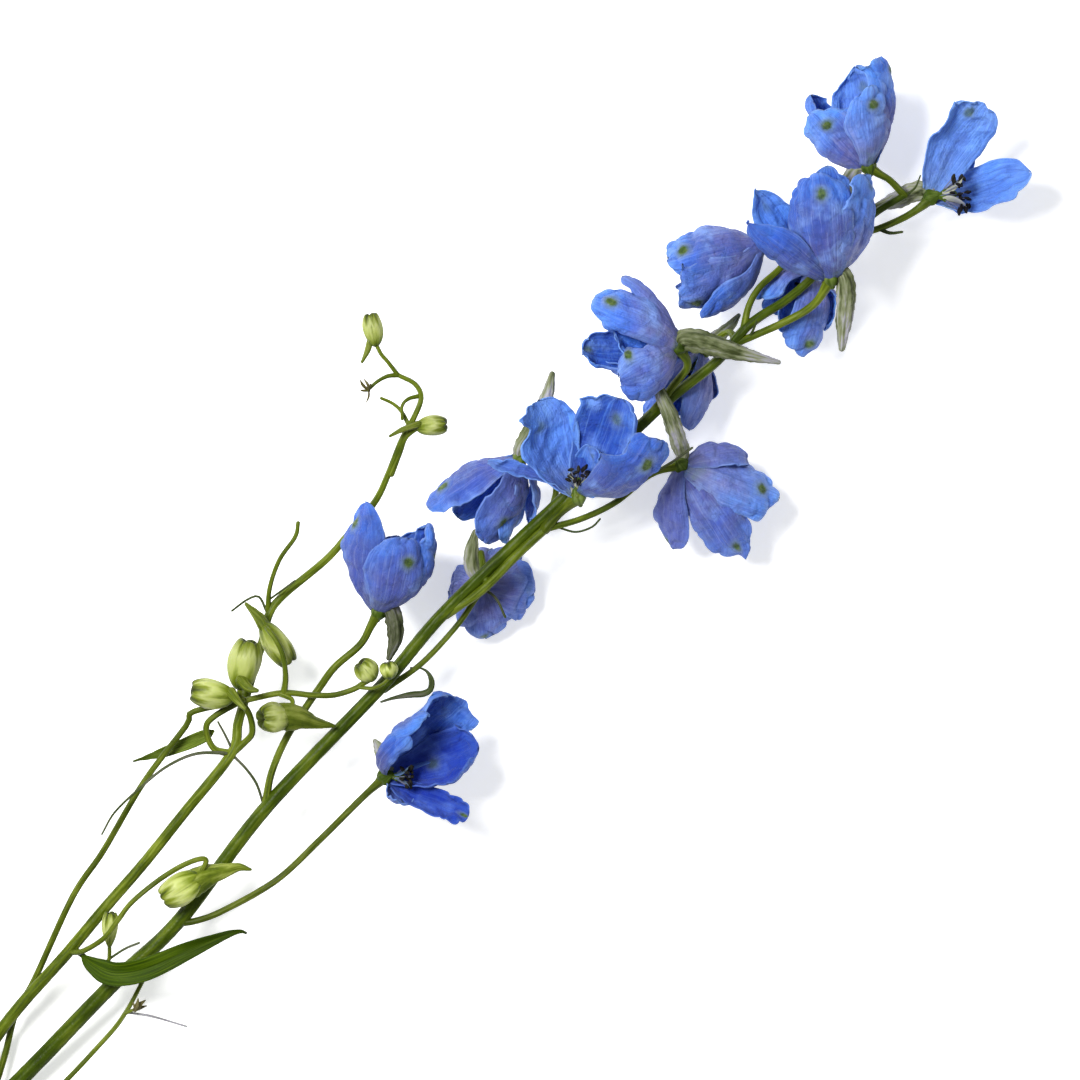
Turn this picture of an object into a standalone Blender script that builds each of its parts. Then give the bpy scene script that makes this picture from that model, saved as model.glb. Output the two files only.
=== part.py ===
import math

import bmesh
import bpy
import numpy as np
from mathutils import Vector
from mathutils.bvhtree import BVHTree

# A cut delphinium spike lying on a table: +X runs from the cut end of the stem to its tip,
# +Y is to the left of the stem and +Z is up, away from the table.
# Places are given on a layout sheet ruled in small squares: x to the right, y down, and the
# height above the table in millimetres. The main stem crosses the sheet corner to corner.
mm = 0.001
sheetStep = 0.00028
sheetCorner = (20.0, 1080.0)
originAlong = 0.1678
originLeft = 0.0216
gap = 0.3 * mm

sepalThickness = 0.7 * mm
restThickness = 1.5 * mm
sepalGrid = (4, 5)
sepalRing = 1.5 * mm
domeRadius = 2.3 * mm
foldStart = 0.78
spurRoot = 1.5 * mm
eyeStart = domeRadius + 0.5 * mm
seatShare = 0.12
seatGap = 0.5 * mm
flatAngle = math.radians(3)
bloomFaces = 850
eyeFaces = 160
thinSteps = 6
weldDistances = (0.001 * mm, 0.05 * mm, 0.01 * mm, 0.1 * mm)
splitWays = [
    ("BEAUTY", "BEAUTY"), ("SHORT_EDGE", "BEAUTY"), ("BEAUTY", "EAR_CLIP"), ("BEAUTY", "BEAUTY"),
]

azure = (0.105, 0.262, 0.807, 1.0)
leafGreen = (0.045, 0.115, 0.008, 1.0)
lightGreen = (0.165, 0.300, 0.035, 1.0)
stemGreen = (0.095, 0.205, 0.010, 1.0)
budGreen = (0.370, 0.480, 0.090, 1.0)
stamenDark = (0.035, 0.025, 0.045, 1.0)

# Each bloom: where its receptacle sits, the way it faces (right, up the sheet, toward the viewer),
# its sepals and its spur. A sepal: tip on the sheet, tip height over the receptacle, width,
# bulge, cup, fold of the tip in degrees and, where it is turned, the way its back looks.
# A spur: points with their own height and radius.
blooms = {
    "01": {
        "base": (868, 166, 24.5), "faces": (-0.25, 0.95, 0.1),
        "sepals": [
            (884, 58, 3, 19, 0.08, 1.0, 25, (0.75, 0.0, 0.6)), (860, 98, 8, 17, 0.13, 1.1, 25),
            (818, 112, 7, 20, 0.08, 1.0, 55, (-0.4, -0.2, 0.85)), (806, 108, -6, 17, 0.08, 0.9, 55),
            (852, 72, -8, 18, 0.10, 0.9, 40),
        ],
        "spur": [(858, 166, 23, 1.9), (850, 178, 21, 2.1), (846, 196, 18.5, 1.6), (850, 212, 17.5, 0.6)],
    },
    "02": {
        "base": (932, 197, 23), "faces": (0.85, 0.45, 0.20),
        "sepals": [
            (990, 106, 5, 18, 0.12, 1.0, 20, (-0.6, 0.5, 0.6)), (1031, 174, 3, 16, 0.20, 1.0, 5),
            (988, 118, -9, 15, 0.14, 0.8, 10), (1012, 182, -10, 15, 0.22, 0.8, 10),
            (992, 150, -19, 14, 0.16, 0.7, 10),
        ],
        "spur": [(929, 191, 20.5, 2.4), (916, 191, 18, 2.8), (897, 199, 16.5, 2.3), (875, 206, 15.5, 0.7)],
    },
    "03": {
        "base": (830, 279, 35), "faces": (-0.12, 0.93, 0.20),
        "sepals": [
            (812, 184, 10, 23, 0.15, 0.9, 25), (868, 184, 4, 21, 0.14, 0.9, 25, (0.85, 0.0, 0.5)),
            (836, 172, -4, 17, 0.10, 0.8, 20), (762, 193, 3, 18, 0.12, 0.7, 5, (-0.4, 0.1, -0.8)),
            (750, 231, 9, 15, 0.14, 0.9, 5, (-0.4, -0.35, 0.8)),
        ],
        "spur": [(841, 274, 34.5, 2.2), (848, 292, 34, 2.3), (846, 320, 33, 2.0), (844, 350, 32, 0.7)],
    },
    "04": {
        "base": (763, 246, 24), "faces": (-0.93, -0.30, 0.05),
        "sepals": [
            (673, 238, 3, 16, 0.08, 1.0, 25), (670, 262, 10, 20, 0.14, 1.1, 35),
            (688, 316, 6, 20, 0.12, 1.1, 15), (688, 298, -8, 18, 0.13, 0.9, 15),
            (694, 272, -23, 15, 0.10, 0.7, -25),
        ],
        "spur": [(766, 238, 21, 2.1), (778, 231, 19, 2.3), (800, 226, 17, 1.8), (820, 226, 15, 0.6)],
    },
    "05": {
        "base": (677, 348, 38), "faces": (-0.88, 0.36, 0.12),
        "sepals": [
            (628, 278, 1, 13, 0.14, 1.2, 10, (0.5, 0.6, 0.55)),
            (602, 308, 6, 17, 0.16, 0.9, 50, (-0.1, 0.3, 0.9)),
            (584, 352, 0, 17, 0.16, 0.9, 50, (0.0, -0.4, -0.9)),
            (620, 387, 6, 22, 0.18, 1.0, 25, (0.1, -0.5, 0.8)),
            (604, 334, -8, 18, 0.16, 0.9, 30),
        ],
        "spur": [(682, 340, 38.5, 2.8), (699, 343, 38, 3.1), (735, 353, 36.5, 2.2), (778, 363, 34, 0.6)],
    },
    "06": {
        "base": (812, 266, 19), "faces": (-0.25, -0.88, -0.1),
        "sepals": [
            (808, 355, 2, 18, 0.16, 1.0, 15), (762, 293, 3, 16, 0.16, 0.9, 20),
            (788, 334, -4, 15, 0.16, 0.9, 15), (826, 326, -8, 16, 0.18, 0.9, 15),
            (782, 312, -13, 15, 0.16, 0.8, 15),
        ],
        "spur": [(806, 260, 16, 2.0), (804, 246, 13.5, 2.1), (808, 228, 10, 1.6), (814, 212, 8, 0.6)],
    },
    "07": {
        "base": (681, 465, 24), "faces": (0.42, -0.52, -0.74),
        "sepals": [
            (679, 551, -8, 12, 0.12, 0.8, 5), (745, 559, -9, 13, 0.12, 0.8, 0),
            (777, 496, -7, 15, 0.10, 0.8, 15), (749, 451, -10, 12, 0.14, 0.9, 30),
            (714, 506, -25, 13, 0.10, 0.6, -25),
        ],
        "spur": [
            (682, 452, 23.5, 2.1), (677, 436, 27.5, 2.3), (668, 412, 32.3, 2.0), (660, 394, 33.6, 1.6),
            (659, 381, 33.6, 0.8),
        ],
    },
    "08": {
        "base": (578, 497, 34), "faces": (-0.25, 0.86, 0.44),
        "sepals": [
            (543, 403, 2, 22, 0.10, 0.6, -15, (-0.5, 0.0, -0.6)),
            (622, 399, 3, 24, 0.12, 0.8, 10, (0.4, 0.0, -0.8)),
            (660, 444, 13, 22, 0.17, 0.8, 20, (0.5, -0.6, 0.65)),
            (489, 462, 9, 13, -0.10, 0.8, 0), (584, 420, -6, 18, 0.12, 0.8, 15),
        ],
        "spur": [(571, 488, 31, 1.9), (562, 476, 29.5, 2.0), (552, 464, 28.5, 1.6), (545, 452, 28, 0.6)],
    },
    "09": {
        "base": (519, 459, 25), "faces": (-0.66, -0.70, -0.22),
        "sepals": [
            (433, 503, 2, 19, 0.14, 1.0, 5), (488, 541, 2, 18, 0.16, 1.0, 5),
            (508, 541, -5, 15, 0.14, 0.9, 5), (531, 526, -9, 13, 0.18, 0.8, 5),
            (455, 516, -14, 17, 0.16, 0.8, 5),
        ],
        "spur": [(521, 448, 26, 2.1), (533, 428, 26.5, 2.3), (546, 400, 27, 1.9), (552, 374, 27, 0.8)],
    },
    "10": {
        "base": (482, 587, 16), "faces": (0.05, -0.12, -0.99),
        "sepals": [
            (446, 596, -10, 13, 0.16, 0.8, 10), (484, 636, -8, 17, 0.14, 0.8, 10),
            (537, 590, -7, 17, 0.14, 0.8, 10), (522, 552, -11, 12, 0.14, 0.8, 10),
            (488, 546, -12, 12, 0.16, 0.8, 10),
        ],
        "spur": [(478, 578, 15, 2.0), (472, 566, 17, 2.2), (472, 550, 18, 1.9), (475, 532, 18, 0.8)],
    },
    "11": {
        "base": (379, 611, 27), "faces": (0.14, 0.95, 0.12),
        "sepals": [
            (368, 502, 4, 19, 0.17, 1.1, 10, (-0.9, 0.0, -0.25)), (406, 532, 11, 22, 0.24, 1.1, 20),
            (437, 528, 1, 19, 0.20, 1.1, 40), (376, 518, -8, 18, 0.18, 0.9, 20),
            (424, 532, -9, 18, 0.20, 0.9, 20),
        ],
        "spur": [(388, 606, 27, 2.2), (394, 618, 26.5, 2.4), (395, 638, 26, 2.0), (389, 658, 25.5, 0.8)],
    },
    "12": {
        "base": (385, 777, 22), "faces": (0.80, 0.36, 0.48),
        "sepals": [
            (460, 698, 4, 22, 0.18, 0.9, 15, (-0.4, 0.6, -0.6)), (477, 756, 3, 21, 0.18, 1.0, 30),
            (468, 813, 5, 14, 0.10, 0.9, 20), (404, 724, 12, 18, 0.20, 1.0, 40),
            (416, 806, -3, 14, 0.24, 0.8, 30),
        ],
        "spur": [(386, 768, 19, 1.9), (384, 760, 16, 2.0), (379, 750, 13, 1.5), (374, 742, 11, 0.6)],
    },
    "13": {
        "base": (702, 352, 17), "faces": (-0.50, -0.85, -0.1),
        "sepals": [
            (692, 430, 2, 15, 0.14, 0.9, 10), (642, 414, 0, 15, 0.14, 0.9, 10),
            (656, 384, -7, 15, 0.16, 0.9, 10), (672, 412, -10, 15, 0.16, 0.8, 10),
            (700, 404, -11, 14, 0.16, 0.8, 10),
        ],
        "spur": [(708, 346, 15, 2.0), (716, 338, 13, 2.0), (730, 326, 11, 1.5), (740, 314, 10, 0.6)],
    },
}
restingSepal = {"04": 4, "07": 4}
# How much smaller the inner petals and stamens are in the blooms that are barely open.
eyeSize = {"03": 0.55, "05": 0.6, "08": 0.8, "09": 0.85}

# Each stem: its points (sheet x, sheet y, height) and the radius at its foot and at its end.
stems = {
    "main": ([
        (-105, 1205, 2.2), (20, 1080, 7), (112, 985, 12), (178, 922, 15), (265, 809, 19),
        (380, 688, 23), (447, 610, 25), (563, 499, 27), (643, 423, 27.5), (673, 396, 27.5),
        (717, 361, 28), (749, 325, 28), (789, 298, 27), (820, 270, 26), (869, 218, 23.5),
        (905, 195, 22.5),
    ], 2.35, 1.0),
    "second": ([
        (-82, 1181, 3.5), (-50, 1115, 6), (0, 1030, 9.5), (65, 955, 14), (102, 911, 16),
        (143, 864, 18.5), (184, 813, 20.5), (231, 754, 22.5), (238, 722, 21), (250, 680, 17),
        (262, 640, 15.5), (268, 615, 16), (282, 596, 16), (325, 560, 14), (347, 535, 13),
        (374, 502, 14), (387, 476, 17), (401, 441, 20), (413, 419, 21.5), (421, 398, 22),
        (415, 384, 22.5), (398, 375, 23),
    ], 1.8, 0.65),
    "third": ([
        (-38, 1140, 5), (-15, 1105, 5.2), (0, 1061, 5.5), (12, 1016, 7), (31, 983, 10),
        (71, 898, 16), (102, 852, 18.5), (143, 783, 22), (186, 726, 25), (193, 712, 26),
        (239, 702, 26.5), (281, 693, 27), (311, 695, 27), (334, 695, 27), (354, 689, 27.6),
        (362, 684, 27.8),
    ], 0.95, 0.8),
    "right": ([
        (-70, 1170, 3.2), (-20, 1146, 3.4), (40, 1106, 4.5), (98, 1047, 6), (122, 1017, 7),
        (143, 978, 8),
    ], 0.85, 0.6),
    "armLeft": ([
        (231, 754, 22.5), (213, 748, 23), (206, 728, 24.5), (215, 716, 25.5), (239, 702, 26.5),
    ], 0.9, 0.9),
    "armRight": ([
        (231, 754, 22.5), (244, 743, 23), (252, 733, 24), (250, 716, 25.5), (242, 702, 26.5),
    ], 0.9, 0.9),
    "stub": ([
        (267, 612, 16), (269, 588, 18.5), (279, 560, 21), (295, 537, 23), (298, 523, 23.5),
    ], 0.7, 0.6),
    "curlOne": ([(398, 375, 23), (388, 376, 23.5), (378, 381, 24), (370, 388, 24)], 0.6, 0.45),
    "curlTwo": ([(418, 396, 22), (408, 399, 23), (402, 406, 23.5), (402, 419, 23)], 0.55, 0.4),
    "curlThree": ([(408, 424, 21), (401, 411, 20.5), (392, 403, 20.5), (381, 398, 21)], 0.55, 0.45),
    "footEleven": ([
        (265, 803, 19), (271, 773, 20), (286, 738, 21), (306, 707, 22), (320, 687, 23),
        (335, 667, 24), (360, 645, 25), (371, 626, 26),
    ], 1.0, 1.1),
    "footTwelve": ([
        (174, 925, 15), (196, 922, 15.8), (224, 911, 17), (276, 881, 18), (320, 840, 19),
        (360, 800, 20.5),
    ], 0.9, 1.0),
    "footTen": ([(384, 690, 22), (421, 664, 20.5), (455, 628, 20), (472, 604, 20.5)], 0.85, 0.8),
    "branch": ([(446, 614, 24.5), (482, 590, 26.5), (515, 557, 27.5), (548, 526, 28)], 1.3, 1.3),
    "footEight": ([(545, 529, 28), (558, 514, 29.5)], 1.5, 1.8),
    "footSeven": ([(545, 529, 28), (581, 519, 27.5), (616, 502, 27), (650, 475, 27)], 0.9, 0.9),
    "footNine": ([(553, 508, 26), (556, 488, 22), (552, 466, 20.5), (541, 452, 22.5)], 0.9, 0.7),
    "footFive": ([(650, 416, 27.5), (673, 386, 30.5), (687, 366, 34.5)], 1.1, 1.1),
    "footThirteen": ([(735, 340, 27.5), (730, 332, 23), (720, 336, 20)], 0.9, 0.9),
    "footFour": ([
        (743, 332, 27.8), (748, 308, 27.5), (759, 288, 27), (782, 266, 25.5), (782, 252, 24.5),
    ], 0.95, 0.9),
    "footThree": ([(730, 346, 27.8), (781, 324, 28.5), (813, 305, 31)], 1.0, 1.2),
    "footSix": ([(842, 246, 24.9), (838, 243, 22), (827, 248, 20)], 0.9, 0.55),
    "footOne": ([(905, 195, 22.5), (890, 180, 23), (878, 173, 24)], 0.9, 1.0),
    "footTwo": ([(852, 236, 24.3), (880, 228, 23.4), (905, 217, 23), (922, 206, 23)], 0.9, 1.1),
    "budOne": ([(398, 375, 23), (387, 361, 24), (381, 354, 24.5)], 0.55, 0.6),
    "budTwo": ([(391, 474, 17.8), (400, 452, 19.5), (406, 437, 20.8)], 0.7, 0.65),
    "budThree": ([(240, 702, 26.5), (240, 697, 26.8)], 0.8, 0.7),
    "budFour": ([(240, 702, 26.5), (243, 699, 28.5)], 0.8, 0.6),
    "budFive": ([
        (284, 693, 27), (286, 676, 29), (283, 654, 30), (275, 638, 30), (268, 629, 28.8),
    ], 0.8, 0.6),
    "budSix": ([(278, 693, 27), (288, 697, 27.5), (293, 702, 27.5)], 0.65, 0.6),
    "budEight": ([
        (68, 954, 14.5), (82, 952, 19), (104, 938, 23.2), (118, 920, 25), (133, 901, 25.5),
        (163, 877, 25.5), (190, 862, 25.5), (206, 860, 25.2),
    ], 0.75, 0.75),
    "budNine": ([(74, 952, 14.8), (94, 966, 15.5), (106, 963, 16.5), (108, 956, 17.2)], 0.7, 0.5),
    "budTen": ([(122, 1017, 7), (126, 1015, 8.4)], 0.5, 0.4),
    "budTwelve": ([(358, 687, 27.8), (372, 688, 28.8), (383, 684, 29.8)], 0.5, 0.5),
    "bractLong": ([
        (226, 753, 23.5), (195, 754, 25.5), (166, 767, 26.5), (140, 788, 26.5), (115, 812, 26),
        (102, 834, 25.5),
    ], 0.55, 0.3),
    "bractRight": ([(233, 756, 22.5), (245, 768, 23), (256, 784, 21.5), (262, 803, 19)], 0.4, 0.4),
    "bractMid": ([(232, 750, 23), (225, 735, 24), (218, 722, 24.5)], 0.4, 0.3),
    "bractTop": ([(266, 613, 16), (258, 597, 17), (246, 600, 17.5), (231, 611, 18)], 0.4, 0.3),
    "bractTopRight": ([(268, 600, 17.3), (282, 590, 19.5), (294, 581, 20.5)], 0.35, 0.3),
    "bractCurled": ([
        (388, 700, 22), (406, 694, 21.5), (427, 693, 21), (433, 682, 20.5), (424, 672, 20.5),
        (412, 668, 20.5),
    ], 0.5, 0.45),
    "bractEight": ([(560, 528, 27.6), (576, 532, 27), (592, 527, 27), (600, 519, 27)], 0.35, 0.3),
    "bractSeven": ([(650, 475, 27), (672, 462, 28.3), (692, 448, 28.8)], 0.45, 0.35),
    "needle": ([(122, 1016, 7), (132, 1017, 7.5), (150, 1020, 7.5), (184, 1030, 7.5)], 0.35, 0.3),
    "bractThree": ([(748, 339, 28), (753, 330, 30), (756, 322, 31.5)], 0.4, 0.3),
    "bractTwo": ([(878, 228, 23.5), (890, 233, 24.5), (902, 232, 25)], 0.7, 0.4),
    "bractTip": ([(905, 195, 22.5), (915, 188, 25), (920, 176, 27)], 0.45, 0.3),
    "axilOne": ([(100, 966, 16), (122, 951, 17.5), (138, 944, 18.5)], 0.4, 0.3),
}
# Which stem carries each bloom; it stops just short of the receptacle.
footOf = {
    "01": "footOne", "02": "footTwo", "03": "footThree", "04": "footFour", "05": "footFive",
    "06": "footSix", "07": "footSeven", "08": "footEight", "09": "footNine", "10": "footTen",
    "11": "footEleven", "12": "footTwelve", "13": "footThirteen",
}
# Which stem carries each bud; it too stops just short.
budOf = {
    "budOne": "01", "budTwo": "02", "budThree": "03", "budFour": "04", "budFive": "05",
    "budSix": "06", "third": "07", "budEight": "08", "budNine": "09", "budTen": "10",
    "curlOne": "11", "budTwelve": "12",
}

# Each bud: foot, tip, greatest radius, and its spur as points with radii.
buds = {
    "01": {"foot": (376, 347, 25), "tip": (370, 310, 26), "radius": 2.7,
           "spur": [(370, 342, 24.5, 1.0), (367, 352, 24.5, 0.8), (362, 362, 25, 0.4)]},
    "02": {"foot": (415, 427, 21.5), "tip": (450, 424, 23), "radius": 2.8,
           "spur": [(419, 424, 23, 1.0), (404, 429, 24, 0.8), (390, 436, 24, 0.4)]},
    "03": {"foot": (239, 690, 27), "tip": (251, 635, 29), "radius": 5.0,
           "spur": [(242, 680, 31, 1.6), (250, 688, 33, 1.2), (258, 690, 34, 0.6)]},
    "04": {"foot": (236, 697, 30), "tip": (188, 690, 31), "radius": 3.9,
           "spur": [(232, 692, 32.5, 1.5), (239, 701, 34, 1.0), (246, 708, 35, 0.5)]},
    "05": {"foot": (262, 622, 24), "tip": (292, 668, 22), "radius": 4.2,
           "spur": [(265, 628, 24, 1.8), (258, 617, 24, 1.5), (246, 604, 24, 0.5)]},
    "06": {"foot": (290, 717, 26), "tip": (256, 718, 27.5), "radius": 4.9,
           "spur": [(284, 717, 27, 3.0), (302, 721, 27, 1.7), (334, 726, 26, 0.5)]},
    "07": {"foot": (374, 679, 29), "tip": (357, 661, 31), "radius": 3.1, "spur": []},
    "08": {"foot": (203, 876, 24), "tip": (158, 903, 23), "radius": 4.1,
           "spur": [(196, 881, 22.5, 2.2), (222, 876, 21.5, 1.5), (250, 871, 21.5, 0.5)]},
    "09": {"foot": (108, 950, 18.2), "tip": (110, 909, 20.7), "radius": 2.3, "spur": []},
    "10": {"foot": (132, 1013, 9.6), "tip": (140, 1005, 10.5), "radius": 1.2, "spur": []},
    "11": {"foot": (369, 391, 25.4), "tip": (362, 385, 26.4), "radius": 1.0, "spur": []},
    "12": {"foot": (391, 678, 30.4), "tip": (389, 660, 31), "radius": 2.3, "spur": []},
}

# Each leaf: centre line, greatest width in millimetres, and how strongly it is folded along it.
leaves = {
    "01": {"path": [(80, 961, 17), (100, 974, 19), (130, 974, 20), (180, 957, 21), (246, 934, 21)],
           "width": 6.8, "trough": 0.6, "slot": "leaf", "color": leafGreen},
    "02": {"path": [(214, 731, 21.5), (200, 738, 21), (168, 751, 20), (132, 762, 19)],
           "width": 3.6, "trough": 0.5, "slot": "bract", "color": lightGreen},
}


def place(x, y, height):
    right = (x - sheetCorner[0]) * sheetStep
    up = (sheetCorner[1] - y) * sheetStep
    along = (right + up) / math.sqrt(2) - originAlong
    left = (up - right) / math.sqrt(2) - originLeft
    return np.array([along, left, height * mm])


def turn(right, up, toward):
    way = np.array([(right + up) / math.sqrt(2), (up - right) / math.sqrt(2), toward])
    return way / np.linalg.norm(way)


def unit(rows):
    return rows / np.linalg.norm(rows, axis=-1, keepdims=True)


def makeMaterial(name, color, roughness):
    material = bpy.data.materials.new(name)
    material.use_nodes = True
    shader = material.node_tree.nodes["Principled BSDF"]
    shader.inputs["Base Color"].default_value = color
    shader.inputs["Roughness"].default_value = roughness
    shader.inputs["Metallic"].default_value = 0.0
    material.diffuse_color = color
    return material


def addObject(name, bm, collection):
    mesh = bpy.data.meshes.new(name)
    bm.to_mesh(mesh)
    bm.free()
    obj = bpy.data.objects.new(name, mesh)
    collection.objects.link(obj)
    return obj


def smoothPath(points, steps):
    """Points of a smooth line through the given ones."""
    points = np.asarray(points, float)
    padded = np.vstack([2 * points[0] - points[1], points, 2 * points[-1] - points[-2]])
    rows = []
    for i in range(1, len(padded) - 2):
        before, here, after, far = padded[i - 1:i + 3]
        for t in np.arange(steps) / steps:
            rows.append(0.5 * (
                2 * here + (after - before) * t
                + (2 * before - 5 * here + 4 * after - far) * t * t
                + (3 * here - before - 3 * after + far) * t ** 3
            ))
    rows.append(points[-1])
    return np.array(rows)


def addTube(name, points, radii, steps, sides, collection):
    """A round tapering stem: a poly curve with a bevel, made a mesh with its caps welded on."""
    path = smoothPath(np.column_stack([points, radii]), steps)
    curve = bpy.data.curves.new(name, "CURVE")
    curve.dimensions = "3D"
    curve.bevel_depth = 1.0
    curve.bevel_resolution = sides
    curve.use_fill_caps = True
    spline = curve.splines.new("POLY")
    spline.points.add(len(path) - 1)
    for point, row in zip(spline.points, path):
        point.co = (*row[:3], 1.0)
        point.radius = row[3]
    guide = bpy.data.objects.new(name + "Guide", curve)
    collection.objects.link(guide)
    bpy.context.view_layer.update()
    graph = bpy.context.evaluated_depsgraph_get()
    mesh = bpy.data.meshes.new_from_object(guide.evaluated_get(graph))
    bm = bmesh.new()
    bm.from_mesh(mesh)
    bmesh.ops.transform(bm, matrix=guide.matrix_world, verts=bm.verts)
    bpy.data.objects.remove(guide)
    bpy.data.meshes.remove(mesh)
    bmesh.ops.remove_doubles(bm, verts=bm.verts, dist=1e-6)
    bmesh.ops.triangulate(bm, faces=bm.faces)
    bmesh.ops.recalc_face_normals(bm, faces=bm.faces)
    return addObject(name, bm, collection)


def sepalPoints(bloom, sepal, across, along):
    """Points of a sepal's middle surface: across runs from -1 to 1, along from 0 to 1."""
    tipX, tipY, rise, width, bulge, cup, fold = sepal[:7]
    baseX, baseY, baseZ = bloom["base"]
    base = place(baseX, baseY, baseZ)
    faces = turn(*bloom["faces"])
    tip = place(tipX, tipY, baseZ + rise)
    spread = (tip - base) - np.dot(tip - base, faces) * faces
    outward = spread / np.linalg.norm(spread)
    root = base + outward * sepalRing
    chord = (tip - root) * (1 + 0.0015 * abs(fold))
    length = np.linalg.norm(chord)
    way = chord / length
    back = turn(*sepal[7]) if len(sepal) > 7 else outward
    bow = back - np.dot(back, way) * way
    bow = bow / np.linalg.norm(bow)
    along = along * (1 - 0.10 * across ** 2 * along ** 2)
    flat = np.minimum(along, foldStart)
    swell = np.sin(np.pi * flat) * (1.25 - 0.5 * flat)
    swellRate = np.pi * np.cos(np.pi * flat) * (1.25 - 0.5 * flat) - 0.5 * np.sin(np.pi * flat)
    middle = root + chord * flat[:, None] + bow * (bulge * length * swell)[:, None]
    forward = unit(chord + bow * (bulge * length * swellRate)[:, None])
    inward = -unit(bow - (forward @ bow)[:, None] * forward)
    side = np.cross(forward, inward)
    past = np.maximum(along - foldStart, 0) / (1 - foldStart)
    angle = math.radians(fold) * past
    reach = (1 - foldStart) * length
    curl = math.radians(fold) if abs(fold) > 1 else math.radians(1)
    middle = middle + forward * (reach * np.sin(curl * past) / curl)[:, None]
    middle = middle + inward * (reach * (1 - np.cos(curl * past)) / curl)[:, None]
    inward = inward * np.cos(angle)[:, None] - forward * np.sin(angle)[:, None]
    rising = 0.34 + 0.66 * np.sin(np.pi / 2 * np.minimum(along / 0.56, 1)) ** 0.9
    closing = np.sqrt(1 - 0.84 * (np.maximum(along - 0.62, 0) / 0.40) ** 2)
    half = width * mm / 2 * rising * closing
    sideways = half * np.sin(cup * across) / cup
    lift = half * (1 - np.cos(cup * across)) / cup
    wave = 0.10 * half * across ** 2 * np.sin(8 * along + 3 * tipX + 1.5 * across)
    return middle + side * sideways[:, None] + inward * (lift + wave)[:, None]


def addSepal(name, bloom, sepal, thickness, collection):
    bm = bmesh.new()
    bmesh.ops.create_grid(bm, x_segments=sepalGrid[0], y_segments=sepalGrid[1], size=1)
    flat = np.array([vert.co[:] for vert in bm.verts])
    for vert, point in zip(bm.verts, sepalPoints(bloom, sepal, flat[:, 0], (flat[:, 1] + 1) / 2)):
        vert.co = point
    bmesh.ops.triangulate(bm, faces=bm.faces)
    bmesh.ops.recalc_face_normals(bm, faces=bm.faces)
    obj = addObject(name, bm, collection)
    shell = obj.modifiers.new("thickness", "SOLIDIFY")
    shell.thickness = thickness
    shell.offset = 0
    return obj


def addEgg(name, foot, tip, radius, power, lobes, segments, collection):
    """A closed egg from foot to tip; a higher power is blunter, and lobes give it five ridges."""
    axis = tip - foot
    length = np.linalg.norm(axis)
    turned = Vector(axis).to_track_quat("Z", "Y").to_matrix()
    bm = bmesh.new()
    bmesh.ops.create_uvsphere(bm, u_segments=segments, v_segments=segments // 2 + 1, radius=1)
    for vert in bm.verts:
        x, y, z = vert.co
        ring = math.hypot(x, y)
        wide = (1 - min(abs(z), 1) ** power) ** (1 / power) * radius
        wide *= 1 + lobes * math.cos(5 * math.atan2(y, x)) * (z + 1) / 2
        scale = wide / ring if ring > 1e-6 else 0
        vert.co = turned @ Vector((x * scale, y * scale, (z + 1) / 2 * length)) + Vector(foot)
    bmesh.ops.triangulate(bm, faces=bm.faces)
    bmesh.ops.recalc_face_normals(bm, faces=bm.faces)
    return addObject(name, bm, collection)


def keepOuterShell(bm):
    """Keeps the largest closed shell, which fills any sealed hollow and drops loose scraps."""
    left = set(bm.verts)
    shells = []
    while left:
        shell = {left.pop()}
        front = list(shell)
        while front:
            vert = front.pop()
            for edge in vert.link_edges:
                other = edge.other_vert(vert)
                if other not in shell:
                    shell.add(other)
                    front.append(other)
        left -= shell
        shells.append(shell)
    largest = max(shells, key=len)
    loose = [vert for shell in shells if shell is not largest for vert in shell]
    bmesh.ops.delete(bm, geom=loose, context="VERTS")


def fuse(name, pieces, material, faceCount=None):
    """Joins a node's pieces with one union on a collection and leaves one closed mesh."""
    first = pieces.objects[0]
    others = bpy.data.collections.new(name + "Others")
    bpy.context.scene.collection.children.link(others)
    for obj in list(pieces.objects)[1:]:
        pieces.objects.unlink(obj)
        others.objects.link(obj)
    joined = unionOf(first, others)
    for obj in [first] + list(others.objects):
        bpy.data.objects.remove(obj)
    bpy.data.collections.remove(others)
    bpy.data.collections.remove(pieces)
    keepOuterShell(joined)
    for distance in weldDistances:
        bm = joined.copy()
        bmesh.ops.remove_doubles(bm, verts=bm.verts, dist=distance)
        if not faceCount:
            bmesh.ops.dissolve_limit(bm, angle_limit=flatAngle, verts=bm.verts, edges=bm.edges)
        bm = cutToTriangles(bm)
        if faceCount:
            bm = thinOut(bm, faceCount)
        if isClosed(bm) and isClear(bm):
            break
    joined.free()
    if min(vert.co.z for vert in bm.verts) < 0:
        flattenUnder(bm)
    bmesh.ops.triangulate(bm, faces=bm.faces)
    obj = addObject(name, bm, spike)
    obj.data.materials.append(material)
    for face in obj.data.polygons:
        face.use_smooth = True
    return obj


def unionOf(first, others):
    if others.objects:
        join = first.modifiers.new("union", "BOOLEAN")
        join.operation = "UNION"
        join.operand_type = "COLLECTION"
        join.collection = others
        join.solver = "EXACT"
    bpy.context.view_layer.update()
    graph = bpy.context.evaluated_depsgraph_get()
    mesh = bpy.data.meshes.new_from_object(first.evaluated_get(graph))
    first.modifiers.clear()
    bm = bmesh.new()
    bm.from_mesh(mesh)
    bpy.data.meshes.remove(mesh)
    return bm


def isClosed(bm):
    return all(len(edge.link_faces) == 2 for edge in bm.edges)


def isClear(bm):
    """Whether no two faces that are apart in the mesh cross each other."""
    tree = BVHTree.FromBMesh(bm)
    bm.faces.ensure_lookup_table()
    for one, two in tree.overlap(tree):
        if one < two and not set(bm.faces[one].verts) & set(bm.faces[two].verts):
            return False
    return True


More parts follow.
